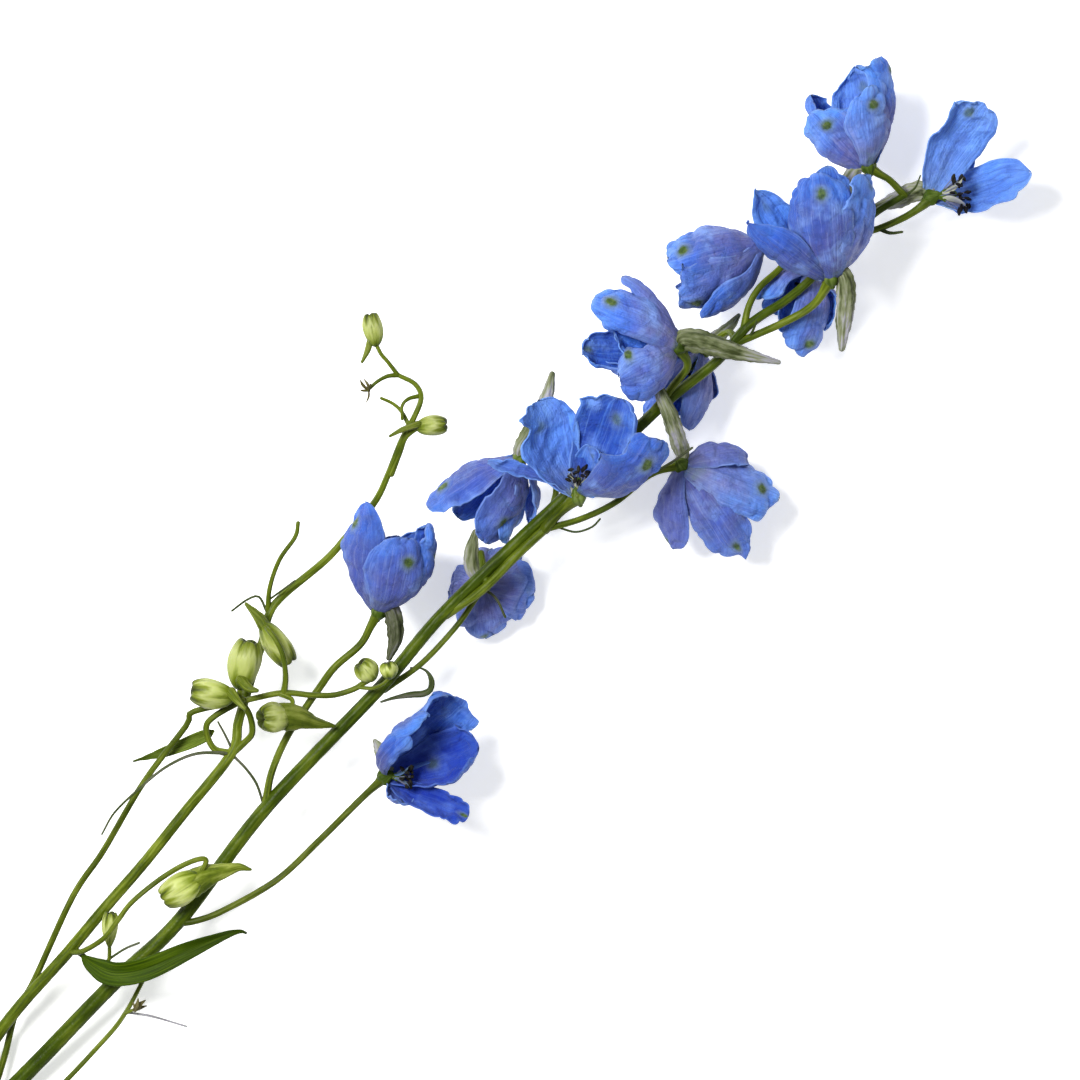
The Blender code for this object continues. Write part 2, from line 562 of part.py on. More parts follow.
def cutToTriangles(bm):
    """Splits every face. Two faces that would get the same diagonal are split from their middles."""
    for quads, others in splitWays:
        split = bm.copy()
        split.verts.index_update()
        bmesh.ops.triangulate(split, faces=split.faces, quad_method=quads, ngon_method=others)
        uneven = [edge for edge in split.edges if len(edge.link_faces) != 2]
        doubled = [{vert.index for vert in edge.verts} for edge in uneven]
        if not doubled and isClear(split):
            break
        bm.verts.index_update()
        shared = []
        for face in bm.faces:
            corners = {vert.index for vert in face.verts}
            if len(corners) > 3 and any(ends <= corners for ends in doubled):
                shared.append(face)
        bmesh.ops.poke(bm, faces=shared)
    bm.free()
    return split


def thinOut(bm, faceCount):
    """Collapses the shortest edges of a joined mesh, as far as it stays closed and uncrossed."""
    start = len(bm.faces)
    rough = addObject("rough", bm, bpy.context.scene.collection)
    thin = rough.modifiers.new("thin", "DECIMATE")
    for step in range(thinSteps):
        thin.ratio = min(1, faceCount / start * (1 + 0.08 * step))
        bpy.context.view_layer.update()
        graph = bpy.context.evaluated_depsgraph_get()
        mesh = bpy.data.meshes.new_from_object(rough.evaluated_get(graph))
        bm = bmesh.new()
        bm.from_mesh(mesh)
        bpy.data.meshes.remove(mesh)
        if (isClosed(bm) and isClear(bm)) or step == thinSteps - 1:
            break
        bm.free()
    bpy.data.objects.remove(rough)
    return bm


def flattenUnder(bm):
    """Trims what reaches under the table to a flat spot that rests on it."""
    everything = list(bm.verts) + list(bm.edges) + list(bm.faces)
    cut = bmesh.ops.bisect_plane(
        bm, geom=everything, dist=1e-7, plane_co=(0, 0, 0), plane_no=(0, 0, 1), clear_inner=True
    )
    rim = [item for item in cut["geom_cut"] if isinstance(item, bmesh.types.BMEdge)]
    bmesh.ops.edgenet_fill(bm, edges=rim)
    bmesh.ops.recalc_face_normals(bm, faces=bm.faces)


def newGroup(name):
    group = bpy.data.collections.new(name)
    bpy.context.scene.collection.children.link(group)
    return group


def buildBloom(key, bloom):
    pieces = newGroup("bloom" + key)
    base = place(*bloom["base"])
    faces = turn(*bloom["faces"])
    addEgg("dome", base - faces * domeRadius, base + faces * domeRadius, domeRadius, 2, 0, 7, pieces)
    for i, sepal in enumerate(bloom["sepals"]):
        thickness = restThickness if restingSepal.get(key) == i else sepalThickness
        addSepal(f"sepal{i}", bloom, sepal, thickness, pieces)
    first = place(*bloom["spur"][0][:3])
    points = [base + (first - base) * 0.25] + [place(*row[:3]) for row in bloom["spur"]]
    radii = [spurRoot] + [row[3] * mm for row in bloom["spur"]]
    addTube("spur", points, radii, 1, 1, pieces)
    return fuse("bloom_" + key, pieces, sepalBlue, bloomFaces)


def buildEye(key, bloom):
    """The cream inner petals and the dark stamens, standing clear of the receptacle."""
    pieces = newGroup("eye" + key)
    faces = turn(*bloom["faces"])
    foot = place(*bloom["base"]) + faces * eyeStart
    size = eyeSize.get(key, 1.0) * mm
    across = np.cross(faces, [0, 0, 1.0])
    across = across / np.linalg.norm(across)
    over = np.cross(across, faces)
    addEgg("heart", foot, foot + faces * 2.4 * size, 1.2 * size, 2, 0, 5, pieces)
    for i in range(5):
        lean = 2 * math.pi * i / 5 + 0.3
        outward = across * math.cos(lean) + over * math.sin(lean)
        start = foot + faces * 1.2 * size
        end = foot + faces * 5.0 * size + outward * 2.0 * size
        addTube(f"stamen{i}", [start, end], [0.35 * mm, 0.6 * mm], 1, 0, pieces)
    for i in range(2):
        outward = over * 0.55 + across * (0.9 if i else -0.9)
        start = foot + faces * 1.0 * size
        end = foot + faces * 6.0 * size + outward * 2.2 * size
        addEgg(f"petal{i}", start, end, 1.1 * size, 2.2, 0, 5, pieces)
    return fuse("eye_" + key, pieces, eyeDark, eyeFaces)


def buildBud(key, bud):
    pieces = newGroup("bud" + key)
    foot = place(*bud["foot"])
    tip = place(*bud["tip"])
    addEgg("body", foot, tip, bud["radius"] * mm, 2.5, 0.05, 8, pieces)
    if bud["spur"]:
        points = [place(*row[:3]) for row in bud["spur"]]
        radii = [row[3] * mm for row in bud["spur"]]
        addTube("spur", points, radii, 1, 1, pieces)
    return fuse("bud_" + key, pieces, budSkin)


def buildLeaf(key, leaf):
    """A lance-shaped blade folded a little along its middle rib."""
    path = smoothPath([place(*row) for row in leaf["path"]], 3)
    rows = len(path)
    forward = unit(np.gradient(path, axis=0))
    side = unit(np.cross([0, 0, 1.0], forward))
    upward = np.cross(forward, side)
    bm = bmesh.new()
    bmesh.ops.create_grid(bm, x_segments=2, y_segments=rows - 1, size=1)
    for vert in bm.verts:
        across, row = vert.co.x, round((vert.co.y + 1) / 2 * (rows - 1))
        share = row / (rows - 1)
        half = leaf["width"] * mm / 2 * max(math.sin(math.pi * (0.06 + 0.91 * share)) ** 0.7, 0.12)
        lift = half * leaf["trough"] * abs(across)
        vert.co = Vector(path[row] + side[row] * half * across + upward[row] * lift)
    bmesh.ops.triangulate(bm, faces=bm.faces)
    obj = addObject("leaf_" + key, bm, spike)
    shell = obj.modifiers.new("thickness", "SOLIDIFY")
    shell.thickness = sepalThickness
    shell.offset = 0
    obj.data.materials.append(makeMaterial(leaf["slot"], leaf["color"], 0.55))
    return obj


def buildStem():
    pieces = newGroup("stemPieces")
    for name, (points, footRadius, endRadius) in stems.items():
        path = [place(*row) for row in points]
        for key, foot in footOf.items():
            if foot == name:
                path.append(footEnd(path[-1], key))
        if name in budOf:
            path.append(seatEnd(path[-1], budOf[name]))
        radii = np.linspace(footRadius, endRadius, len(path)) * mm
        sides = 2 if footRadius > 1.5 else 1 if footRadius > 0.6 else 0
        addTube(name, path, radii, 1, sides, pieces)
    return fuse("stem", pieces, stemSkin)


def footEnd(last, key):
    """The end of a pedicel, a gap away from its bloom's receptacle."""
    base = place(*blooms[key]["base"])
    back = (last - base) / np.linalg.norm(last - base)
    return base + back * (domeRadius + gap)


def seatEnd(last, key):
    """The end of a pedicel, just short of where it would meet the foot of its bud."""
    foot = place(*buds[key]["foot"])
    tip = place(*buds[key]["tip"])
    aim = foot + (tip - foot) * seatShare
    way = (aim - last) / np.linalg.norm(aim - last)
    graph = bpy.context.evaluated_depsgraph_get()
    skin = BVHTree.FromObject(bpy.data.objects["bud_" + key], graph)
    distance = skin.ray_cast(Vector(last), Vector(way))[3]
    return last + way * (distance - seatGap)


for old in list(bpy.data.objects):
    bpy.data.objects.remove(old)
spike = newGroup("delphinium spike")
sepalBlue = makeMaterial("sepals", azure, 0.55)
eyeDark = makeMaterial("eyes", stamenDark, 0.7)
stemSkin = makeMaterial("stem", stemGreen, 0.5)
budSkin = makeMaterial("buds", budGreen, 0.5)

for key, bud in buds.items():
    buildBud(key, bud)
buildStem()
for key, bloom in blooms.items():
    buildBloom(key, bloom)
    buildEye(key, bloom)
for key, leaf in leaves.items():
    buildLeaf(key, leaf)
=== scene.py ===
# A cut delphinium spike lying on a pale table, seen from straight above.
import math

import bmesh
import bpy
import numpy as np
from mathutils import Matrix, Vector, noise


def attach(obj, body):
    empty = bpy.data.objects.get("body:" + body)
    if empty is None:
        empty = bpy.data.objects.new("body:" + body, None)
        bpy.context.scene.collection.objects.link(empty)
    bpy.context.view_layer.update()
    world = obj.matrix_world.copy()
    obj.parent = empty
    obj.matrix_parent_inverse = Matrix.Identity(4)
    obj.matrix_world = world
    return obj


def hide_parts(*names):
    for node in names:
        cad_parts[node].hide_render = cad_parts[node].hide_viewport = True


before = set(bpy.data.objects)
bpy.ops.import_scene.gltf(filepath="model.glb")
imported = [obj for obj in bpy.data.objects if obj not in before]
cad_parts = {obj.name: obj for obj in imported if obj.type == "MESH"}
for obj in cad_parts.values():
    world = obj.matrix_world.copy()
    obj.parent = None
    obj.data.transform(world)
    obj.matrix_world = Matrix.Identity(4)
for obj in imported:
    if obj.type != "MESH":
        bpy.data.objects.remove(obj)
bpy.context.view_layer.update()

mm = 0.001
# Places are read off a layout sheet: x to the right, y down, in squares of this size, and the
# height above the table in millimetres. +X runs along the main stem, +Y is to its left.
sheet = {"step": 0.00028, "corner": (20.0, 1080.0), "along": 0.1678, "left": 0.0216}


def place(x, y, height):
    right = (x - sheet["corner"][0]) * sheet["step"]
    up = (sheet["corner"][1] - y) * sheet["step"]
    along = (right + up) / math.sqrt(2) - sheet["along"]
    left = (up - right) / math.sqrt(2) - sheet["left"]
    return np.array([along, left, height * mm])


def turn(right, up, toward):
    way = np.array([(right + up) / math.sqrt(2), (up - right) / math.sqrt(2), toward])
    return way / np.linalg.norm(way)


def unit(rows):
    return rows / np.maximum(np.linalg.norm(rows, axis=-1, keepdims=True), 1e-12)


def noiseAt(points, size, seed):
    shift = Vector((seed, seed * 0.37, 0))
    return np.array([noise.noise(Vector(row) / size + shift) for row in points])


def placed(rows):
    # layout rows of x, y, height and radius as rows in metres
    return [(*place(*row[:3]), row[3] * mm) for row in rows]


# the camera hangs over the middle of the sheet and sees all 1080 squares of its width, rolled so
# that the sheet's right edge is the picture's
view = {
    "centre": (540, 540, 25), "distance": 2.4, "width": 1080 * sheet["step"], "sensor": 36.0,
    "clip": (0.05, 60), "roll": -45,
}
camera = bpy.data.cameras.new("camera")
camera.sensor_width = view["sensor"]
camera.lens = view["sensor"] * view["distance"] / view["width"]
camera.clip_start, camera.clip_end = view["clip"]
cameraObject = bpy.data.objects.new("camera", camera)
bpy.context.scene.collection.objects.link(cameraObject)
cameraObject.location = Vector(place(*view["centre"])) + Vector((0, 0, view["distance"]))
cameraObject.rotation_euler = (0, 0, math.radians(view["roll"]))
bpy.context.scene.camera = cameraObject
bpy.context.scene.view_settings.view_transform = "Standard"
bpy.context.scene.view_settings.look = "None"

# a soft key lamp to the left of the stem, a weak cool one across from it, and an even pale sky
light = {
    "key": {"size": 0.45, "power": 23.5, "colour": (1.0, 0.99, 0.97), "from": (-0.10, 0.55, 1.10)},
    "fill": {"size": 1.2, "power": 2, "colour": (0.94, 0.97, 1.0), "from": (0.5, -0.9, 0.8)},
    "sky": {"colour": (0.97, 0.985, 1.0, 1.0), "strength": 0.36},
}
for name in ("key", "fill"):
    lamp = bpy.data.lights.new(name, "AREA")
    lamp.shape = "DISK"
    lamp.size = light[name]["size"]
    lamp.energy = light[name]["power"]
    lamp.color = light[name]["colour"]
    lampObject = bpy.data.objects.new(name, lamp)
    bpy.context.scene.collection.objects.link(lampObject)
    lampObject.location = light[name]["from"]
    lampObject.rotation_euler = (-Vector(light[name]["from"])).to_track_quat("-Z", "Y").to_euler()
sky = bpy.data.worlds.new("softbox sky")
sky.use_nodes = True
sky.node_tree.nodes["Background"].inputs["Color"].default_value = light["sky"]["colour"]
sky.node_tree.nodes["Background"].inputs["Strength"].default_value = light["sky"]["strength"]
bpy.context.scene.world = sky
print("camera and light ready")


def linear(code):
    # the linear colour of a #rrggbb code
    parts = [int(code[i:i + 2], 16) / 255 for i in (1, 3, 5)]
    return tuple(c / 12.92 if c <= 0.04045 else ((c + 0.055) / 1.055) ** 2.4 for c in parts) + (1.0,)


def node(tree, kind, inputs=None, ramp=None, **settings):
    # one shader node; an input is a value, a socket, or a node whose first output is linked
    made = tree.nodes.new("ShaderNode" + kind)
    for name, value in settings.items():
        setattr(made, name, value)
    for name, value in (inputs or {}).items():
        if isinstance(value, bpy.types.Node):
            value = value.outputs[0]
        if isinstance(value, bpy.types.NodeSocket):
            tree.links.new(value, made.inputs[name])
        else:
            made.inputs[name].default_value = value
    if ramp:
        stops = made.color_ramp.elements
        stops.remove(stops[-1])
        stops[0].position, stops[0].color = ramp[0][0], linear(ramp[0][1])
        for spot, code in ramp[1:]:
            stops.new(spot).color = linear(code)
    return made


def farFrom(tree, value, level):
    # how far a value lies from a level, on either side of it
    apart = node(tree, "Math", {0: value, 1: level}, operation="SUBTRACT")
    return node(tree, "Math", {0: apart}, operation="ABSOLUTE")


def pushed(tree, value, amount, cloud):
    # a value pushed up and down by a noise that swings round 0.5
    push = node(tree, "Math", {0: cloud, 1: 0.5}, operation="SUBTRACT")
    return node(tree, "Math", {0: push, 1: amount, 2: value}, operation="MULTIPLY_ADD")


def newMaterial(name):
    material = bpy.data.materials.new(name)
    material.use_nodes = True
    material.node_tree.nodes.clear()
    return material, material.node_tree


def finishMaterial(material, shader, viewColour):
    node(material.node_tree, "OutputMaterial", {"Surface": shader})
    material.diffuse_color = linear(viewColour)
    return material


# Sepal: thin watery tissue with a velvety skin. Fine veins fan out from the claw to the tip, the
# back is washed with lilac toward the claw, and a green gland marks the back just under the tip.
# The two ramps run from claw to tip, for a pale and for a deep blue sepal. A share says how much
# of its colour shows.
sepalLooks = {
    "outer": {
        "pale": [(0.0, "#55633c"), (0.05, "#798081"), (0.14, "#76749d"), (0.38, "#5f67ab"),
                 (0.62, "#5278cc"), (0.82, "#4b84e4"), (1.0, "#5c98f0")],
        "deep": [(0.0, "#374b29"), (0.06, "#444e73"), (0.28, "#3a4488"), (0.60, "#2c4992"),
                 (0.82, "#265ab8"), (1.0, "#3470cf")],
        "edge": "#5f8de3", "edgeShare": 0.32,
        "vein": "#3b4290", "veinShare": 0.36, "paleVein": "#99a1d3", "paleVeinShare": 0.30,
        # the next pale blue paints highlights on thin patches and fold crests, and pales whole sepals
        "paleAndHighlight": "#8db4f8", "paleHighlightShare": 0.50,
        "middle": "#5f62a8", "middleShare": 0.20, "lilac": "#6a6ca4",
        "patch": "#2258cc", "patchShare": 0.50, "spotShare": 0.95,
        # the next fold colour is the painted shade in the fold valleys
        "fold": "#27459a", "creaseShadingShare": 0.45, "rim": "#9cbcf4", "ink": "#23439c",
    },
    "inner": {
        "pale": [(0.0, "#899480"), (0.09, "#6678b7"), (0.35, "#3c6ed2"), (0.72, "#4a88ec"),
                 (1.0, "#6c9ef0")],
        "deep": [(0.0, "#3a4d65"), (0.12, "#192d7e"), (0.42, "#08288a"), (0.75, "#103799"),
                 (1.0, "#2b5ab3")],
        "edge": "#6292de", "edgeShare": 0.32,
        "vein": "#16389a", "veinShare": 0.36, "paleVein": "#7aa6ea", "paleVeinShare": 0.28,
        # the next pale blue paints highlights on thin patches and fold crests, and pales whole sepals
        "paleAndHighlight": "#86b0f8", "paleHighlightShare": 0.48,
        "middle": "#1d469f", "middleShare": 0.40, "lilac": "#7076ae",
        "patch": "#0d35a6", "patchShare": 0.50, "spotShare": 0.45,
        # the next fold colour is the painted shade in the fold valleys
        "fold": "#0a2a8c", "creaseShadingShare": 0.50, "rim": "#8fb4f4", "ink": "#07269a",
    },
}
veinsAcross = 32      # a 20 mm sepal shows a vein about every 0.6 mm
glandSize = (0.092, 0.066)  # half width and half length as shares of the sepal, nearly 2 mm each


def sepalSkin(name, look):
    material, tree = newMaterial(name)
    u, v, _ = node(tree, "SeparateXYZ", {0: node(tree, "UVMap", uv_map="UVMap")}).outputs
    petal = node(tree, "Attribute", attribute_name="petal").outputs["Vector"]
    seed, depth, lilac = node(tree, "SeparateXYZ", {0: petal}).outputs
    glandPlace = node(tree, "Attribute", attribute_name="gland").outputs["Vector"]
    glandAcross, glandAlong, glandShare = node(tree, "SeparateXYZ", {0: glandPlace}).outputs
    objectPlace = node(tree, "TexCoord").outputs["Object"]
    # 0 on the middle line and 1 at either side
    across = node(tree, "Math", {0: farFrom(tree, u, 0.5), 1: 2.0}, operation="MULTIPLY")

    # veins: noise drawn out along the sepal
    seedShift = node(tree, "Math", {0: seed, 1: 17.0}, operation="MULTIPLY")
    drawnOut = node(tree, "CombineXYZ", {
        "X": node(tree, "Math", {0: u, 1: float(veinsAcross), 2: seedShift}, operation="MULTIPLY_ADD"),
        "Y": node(tree, "Math", {0: v, 1: 1.6}, operation="MULTIPLY"),
        "Z": seedShift})
    veins = node(tree, "TexNoise", {
        "Vector": drawnOut, "Scale": 1.0, "Detail": 5.0, "Roughness": 0.68, "Distortion": 0.55})
    dark = node(tree, "MapRange", {
        "Value": farFrom(tree, veins, 0.52), "From Min": 0.055, "From Max": 0.005})
    dark = node(tree, "Math", {0: dark, 1: look["veinShare"]}, operation="MULTIPLY")
    light = node(tree, "MapRange", {"Value": veins, "From Min": 0.47, "From Max": 0.30})
    light = node(tree, "Math", {0: light, 1: look["paleVeinShare"]}, operation="MULTIPLY")

    # the ground colour runs from claw to tip, pushed about by clouds a few millimetres across
    cloud = node(tree, "TexNoise", {"Vector": objectPlace, "Scale": 160.0, "Detail": 3.0, "Roughness": 0.55})
    run = pushed(tree, v, 0.95, cloud)
    base = node(tree, "MixRGB", {
        "Fac": depth,
        "Color1": node(tree, "ValToRGB", {"Fac": run}, ramp=look["pale"]),
        "Color2": node(tree, "ValToRGB", {"Fac": run}, ramp=look["deep"])})

    # a streak down the middle that fades out to both sides
    bell = node(tree, "Math", {0: across, 1: 0.38}, operation="DIVIDE")
    bell = node(tree, "Math", {0: bell, 1: 2.0}, operation="POWER")
    bell = node(tree, "Math", {0: 1.0, 1: bell}, operation="ADD")
    bell = node(tree, "Math", {0: bell, 1: -1.0}, operation="POWER")
    middle = node(tree, "Math", {0: bell, 1: look["middleShare"]}, operation="MULTIPLY")

    # a deep blue patch or two on each sepal
    patches = node(tree, "TexNoise", {"Vector": objectPlace, "Scale": 95.0, "Detail": 2.0})
    patches = node(tree, "MapRange", {
        "Value": patches, "From Min": 0.54, "From Max": 0.68, "To Max": look["patchShare"]})

    # long folds: painted shade as a dark line in each valley, and a painted highlight as a light band beside
    # it
    wander = node(tree, "CombineXYZ", {
        "X": node(tree, "Math", {0: u, 1: 3.4, 2: seedShift}, operation="MULTIPLY_ADD"),
        "Y": node(tree, "Math", {0: v, 1: 0.8}, operation="MULTIPLY"),
        "Z": seed})
    folds = node(tree, "TexNoise", {
        "Vector": wander, "Scale": 1.0, "Detail": 2.5, "Roughness": 0.5, "Distortion": 0.35})
    paintedCreaseShade = node(tree, "MapRange", {
        "Value": farFrom(tree, folds, 0.46), "From Min": 0.045, "From Max": 0.0,
        "To Max": look["creaseShadingShare"]}, interpolation_type="SMOOTHSTEP")
    paintedCreaseHighlight = node(tree, "MapRange", {
        "Value": farFrom(tree, folds, 0.56), "From Min": 0.06, "From Max": 0.0,
        "To Max": look["creaseShadingShare"] * 0.2}, interpolation_type="SMOOTHSTEP")

    # painted highlight: pale patches where thin places would let the light through
    elsewhere = node(tree, "VectorMath", {0: objectPlace, 1: (0.37, 0.11, 0.23)})
    paintedHighlightPatches = node(tree, "TexNoise", {"Vector": elsewhere, "Scale": 125.0, "Detail": 3.0})
    paintedHighlightPatches = node(tree, "MapRange", {
        "Value": paintedHighlightPatches, "From Min": 0.54, "From Max": 0.72, "To Max": look["paleHighlightShare"]})
    # a lilac below 0 pales the whole sepal, and a depth above 1 darkens it toward a deeper blue
    paler = node(tree, "Math", {0: lilac, 1: -1.0}, operation="MULTIPLY")
    deepened = node(tree, "Math", {0: depth, 1: 1.0}, operation="SUBTRACT")

    # both margins are paler, and a painted highlight makes the outermost rim and the tip paler still
    margin = node(tree, "Math", {0: across, 1: 3.5}, operation="POWER")
    margin = node(tree, "Math", {0: margin, 1: look["edgeShare"]}, operation="MULTIPLY")
    towardTip = node(tree, "Math", {0: v, 1: 0.97}, operation="MULTIPLY")
    rim = node(tree, "Math", {0: across, 1: towardTip}, operation="MAXIMUM")
    rim = node(tree, "MapRange", {"Value": rim, "From Min": 0.93, "From Max": 0.985, "To Max": 0.25})

    # from the ground colour up, how much of what lies over it
    covers = [
        (middle, "middle"), (patches, "patch"), (paintedCreaseShade, "fold"), (paintedCreaseHighlight, "paleAndHighlight"), (paintedHighlightPatches, "paleAndHighlight"),
        (lilac, "lilac"), (paler, "paleAndHighlight"), (margin, "edge"), (rim, "rim"), (dark, "vein"),
        (light, "paleVein"), (deepened, "ink")]
    for share, colour in covers:
        base = node(tree, "MixRGB", {"Fac": share, "Color1": base, "Color2": linear(look[colour])})

    # the gland: an oval with a ragged outline and a bleached ring
    wide = node(tree, "Math", {0: u, 1: glandAcross}, operation="SUBTRACT")
    wide = node(tree, "Math", {0: wide, 1: glandSize[0]}, operation="DIVIDE")
    tall = node(tree, "Math", {0: v, 1: glandAlong}, operation="SUBTRACT")
    tall = node(tree, "Math", {0: tall, 1: glandSize[1]}, operation="DIVIDE")
    oval = node(tree, "CombineXYZ", {"X": wide, "Y": tall})
    apart = node(tree, "VectorMath", {0: oval}, operation="LENGTH").outputs["Value"]
    speck = node(tree, "TexNoise", {"Vector": objectPlace, "Scale": 650.0, "Detail": 3.0})
    apart = node(tree, "Math", {0: speck, 1: 0.7, 2: apart}, operation="MULTIPLY_ADD")
    green = node(tree, "ValToRGB", {"Fac": speck}, ramp=[
        (0.34, "#2c4214"), (0.52, "#465e22"), (0.70, "#5f6e38")])
    for start, full, share, colour in (
            (2.3, 1.2, look["spotShare"] * 0.5, linear("#6c7f92")), (1.55, 0.75, look["spotShare"], green)):
        mask = node(tree, "MapRange", {"Value": apart, "From Min": start, "From Max": full},
                    interpolation_type="SMOOTHSTEP")
        mask = node(tree, "Math", {0: mask, 1: glandShare}, operation="MULTIPLY")
        mask = node(tree, "Math", {0: mask, 1: share}, operation="MULTIPLY")
        base = node(tree, "MixRGB", {"Fac": mask, "Color1": base, "Color2": colour})

    # crumpled skin: fine crumples with the veins and the folds on top
    crumple = node(tree, "TexNoise", {
        "Vector": objectPlace, "Scale": 520.0, "Detail": 6.0, "Roughness": 0.68, "Distortion": 0.6})
    height = node(tree, "Math", {0: veins, 1: 0.4, 2: crumple}, operation="MULTIPLY_ADD")
    height = node(tree, "Math", {0: folds, 1: 1.6, 2: height}, operation="MULTIPLY_ADD")
    bump = node(tree, "Bump", {"Height": height, "Strength": 0.9, "Distance": 0.0012})
    rough = node(tree, "MapRange", {
        "Value": crumple, "From Min": 0.3, "From Max": 0.7, "To Min": 0.42, "To Max": 0.62})
    shader = node(tree, "BsdfPrincipled", {
        "Base Color": base, "Roughness": rough, "Normal": bump, "IOR": 1.42,
        "Specular IOR Level": 0.28, "Subsurface Weight": 0.18, "Subsurface Scale": 0.0012,
        "Subsurface Radius": (0.5, 0.6, 1.0), "Sheen Weight": 0.08, "Sheen Roughness": 0.5,
        "Sheen Tint": linear("#cfdcff")})
    return finishMaterial(material, shader, "#5f83cf")


# Stalk skin: smooth waxy cuticle over long fibres, so light and dark green run along it.
def stalkSkin(name, colours, roughness, grainShare=1.0):
    material, tree = newMaterial(name)
    grain = node(tree, "Attribute", attribute_name="grain").outputs["Vector"]
    petal = node(tree, "Attribute", attribute_name="petal").outputs["Vector"]
    shade = node(tree, "SeparateXYZ", {0: petal}).outputs[1]
    objectPlace = node(tree, "TexCoord").outputs["Object"]
    fibre = node(tree, "TexNoise", {"Vector": grain, "Scale": 1.0, "Detail": 3.0, "Roughness": 0.55})
    patch = node(tree, "TexNoise", {"Vector": objectPlace, "Scale": 90.0, "Detail": 2.0})
    colour = node(tree, "ValToRGB", {"Fac": pushed(tree, fibre, 0.8, patch)}, ramp=colours)
    colour = node(tree, "MixRGB", {"Fac": shade, "Color1": colour, "Color2": stalkShadow})
    speck = node(tree, "TexNoise", {"Vector": objectPlace, "Scale": 1300.0, "Detail": 2.0})
    height = node(tree, "Math", {0: fibre, 1: grainShare * 1.5, 2: speck}, operation="MULTIPLY_ADD")
    bump = node(tree, "Bump", {"Height": height, "Strength": 0.5, "Distance": 0.0003})
    shader = node(tree, "BsdfPrincipled", {
        "Base Color": colour, "Roughness": roughness, "Normal": bump, "IOR": 1.45,
        "Specular IOR Level": 0.12, "Subsurface Weight": 0.08, "Subsurface Scale": 0.0006,
        "Subsurface Radius": (0.6, 1.0, 0.2)})
    return finishMaterial(material, shader, colours[1][1])


stalkShadow = (0.004, 0.006, 0.001, 1.0)  # what a shaded stalk or spur darkens toward
sepalOuter = sepalSkin("sepalBackLilacBlue", sepalLooks["outer"])
sepalInner = sepalSkin("sepalFaceAzure", sepalLooks["inner"])
stemGreen = stalkSkin("stemWaxyGreen", [(0.28, "#283702"), (0.5, "#3b4c05"), (0.74, "#556314")], 0.36)
sideGreen = stalkSkin("sideStemGreen", [(0.28, "#36440a"), (0.5, "#4f5d0e"), (0.74, "#6f7b26")], 0.38)
bractSkin = stalkSkin("bractDriedGreen", [(0.3, "#252f12"), (0.5, "#3e4a22"), (0.7, "#5c5c50")], 0.6)
needleSkin = stalkSkin("needleDry", [(0.3, "#6c6a70"), (0.5, "#8c8a92"), (0.7, "#a3a1a8")], 0.6)
receptacleSkin = stalkSkin("receptacleGreen", [(0.3, "#263608"), (0.5, "#3b4e10"), (0.72, "#5f6e34")], 0.5)
# Spur: a puckered, twisted tube, bleached grey-green with lilac shadows and brown flecks.
spurSkin = stalkSkin("spurPuckered", [(0.26, "#343b1c"), (0.40, "#5a6142"), (0.54, "#7b7f66"),
                                      (0.70, "#94939c")], 0.6, 2.0)
cutPith = stalkSkin("cutStemPith", [(0.3, "#a9b86a"), (0.5, "#cdd69a"), (0.7, "#dfe4bb")], 0.7)
antherSkin = stalkSkin("antherBlack", [(0.3, "#08070b"), (0.50, "#15121a"), (0.70, "#34331f")], 0.6)
greyPetalSkin = stalkSkin("innerPetalGrey", [(0.3, "#36507c"), (0.5, "#50698c"), (0.72, "#72837c")], 0.5)
filamentSkin = stalkSkin("filamentPale", [(0.3, "#3f4468"), (0.5, "#666b8c"), (0.72, "#9296a2")], 0.5)
creamSkin = stalkSkin("innerPetalCream", [(0.3, "#6c6f86"), (0.5, "#979a8c"), (0.72, "#c3c598")], 0.55)


# Bud: thick closed sepals, yellow-green with a painted highlight in a pale band round the middle of their
# length, and darker at both ends.
def budSkinMaterial():
    material, tree = newMaterial("budYellowGreen")
    along = node(tree, "SeparateXYZ", {0: node(tree, "UVMap", uv_map="UVMap")}).outputs[1]
    grain = node(tree, "Attribute", attribute_name="grain").outputs["Vector"]
    petal = node(tree, "Attribute", attribute_name="petal").outputs["Vector"]
    ribs, shade, _ = node(tree, "SeparateXYZ", {0: petal}).outputs
    fibre = node(tree, "TexNoise", {"Vector": grain, "Scale": 1.6, "Detail": 3.0})
    # the palest stops, round the middle of the length, are painted highlight
    colour = node(tree, "ValToRGB", {"Fac": pushed(tree, along, 0.7, fibre)}, ramp=[
        (0.0, "#243503"), (0.14, "#405006"), (0.30, "#6f7e1d"), (0.46, "#a4ae5c"), (0.58, "#b0b872"),
        (0.70, "#768226"), (0.82, "#424e0e"), (0.92, "#282e0b"), (1.0, "#1c190e")])
    # the seams between the five folded sepals
    seam = node(tree, "MapRange", {"Value": ribs, "From Min": 0.50, "From Max": 0.10})
    seam = node(tree, "Math", {0: seam, 1: 0.55}, operation="MULTIPLY")
    for share, code in ((seam, "#314007"), (shade, "#131b01")):
        colour = node(tree, "MixRGB", {"Fac": share, "Color1": colour, "Color2": linear(code)})
    objectPlace = node(tree, "TexCoord").outputs["Object"]
    speck = node(tree, "TexNoise", {"Vector": objectPlace, "Scale": 900.0, "Detail": 2.0})
    height = node(tree, "Math", {0: fibre, 1: 1.2, 2: speck}, operation="MULTIPLY_ADD")
    bump = node(tree, "Bump", {"Height": height, "Strength": 0.5, "Distance": 0.0004})
    shader = node(tree, "BsdfPrincipled", {
        "Base Color": colour, "Roughness": 0.45, "Normal": bump, "IOR": 1.43,
        "Specular IOR Level": 0.22, "Subsurface Weight": 0.18, "Subsurface Scale": 0.0015,
        "Subsurface Radius": (0.7, 1.0, 0.2)})
    return finishMaterial(material, shader, "#bfca7e")


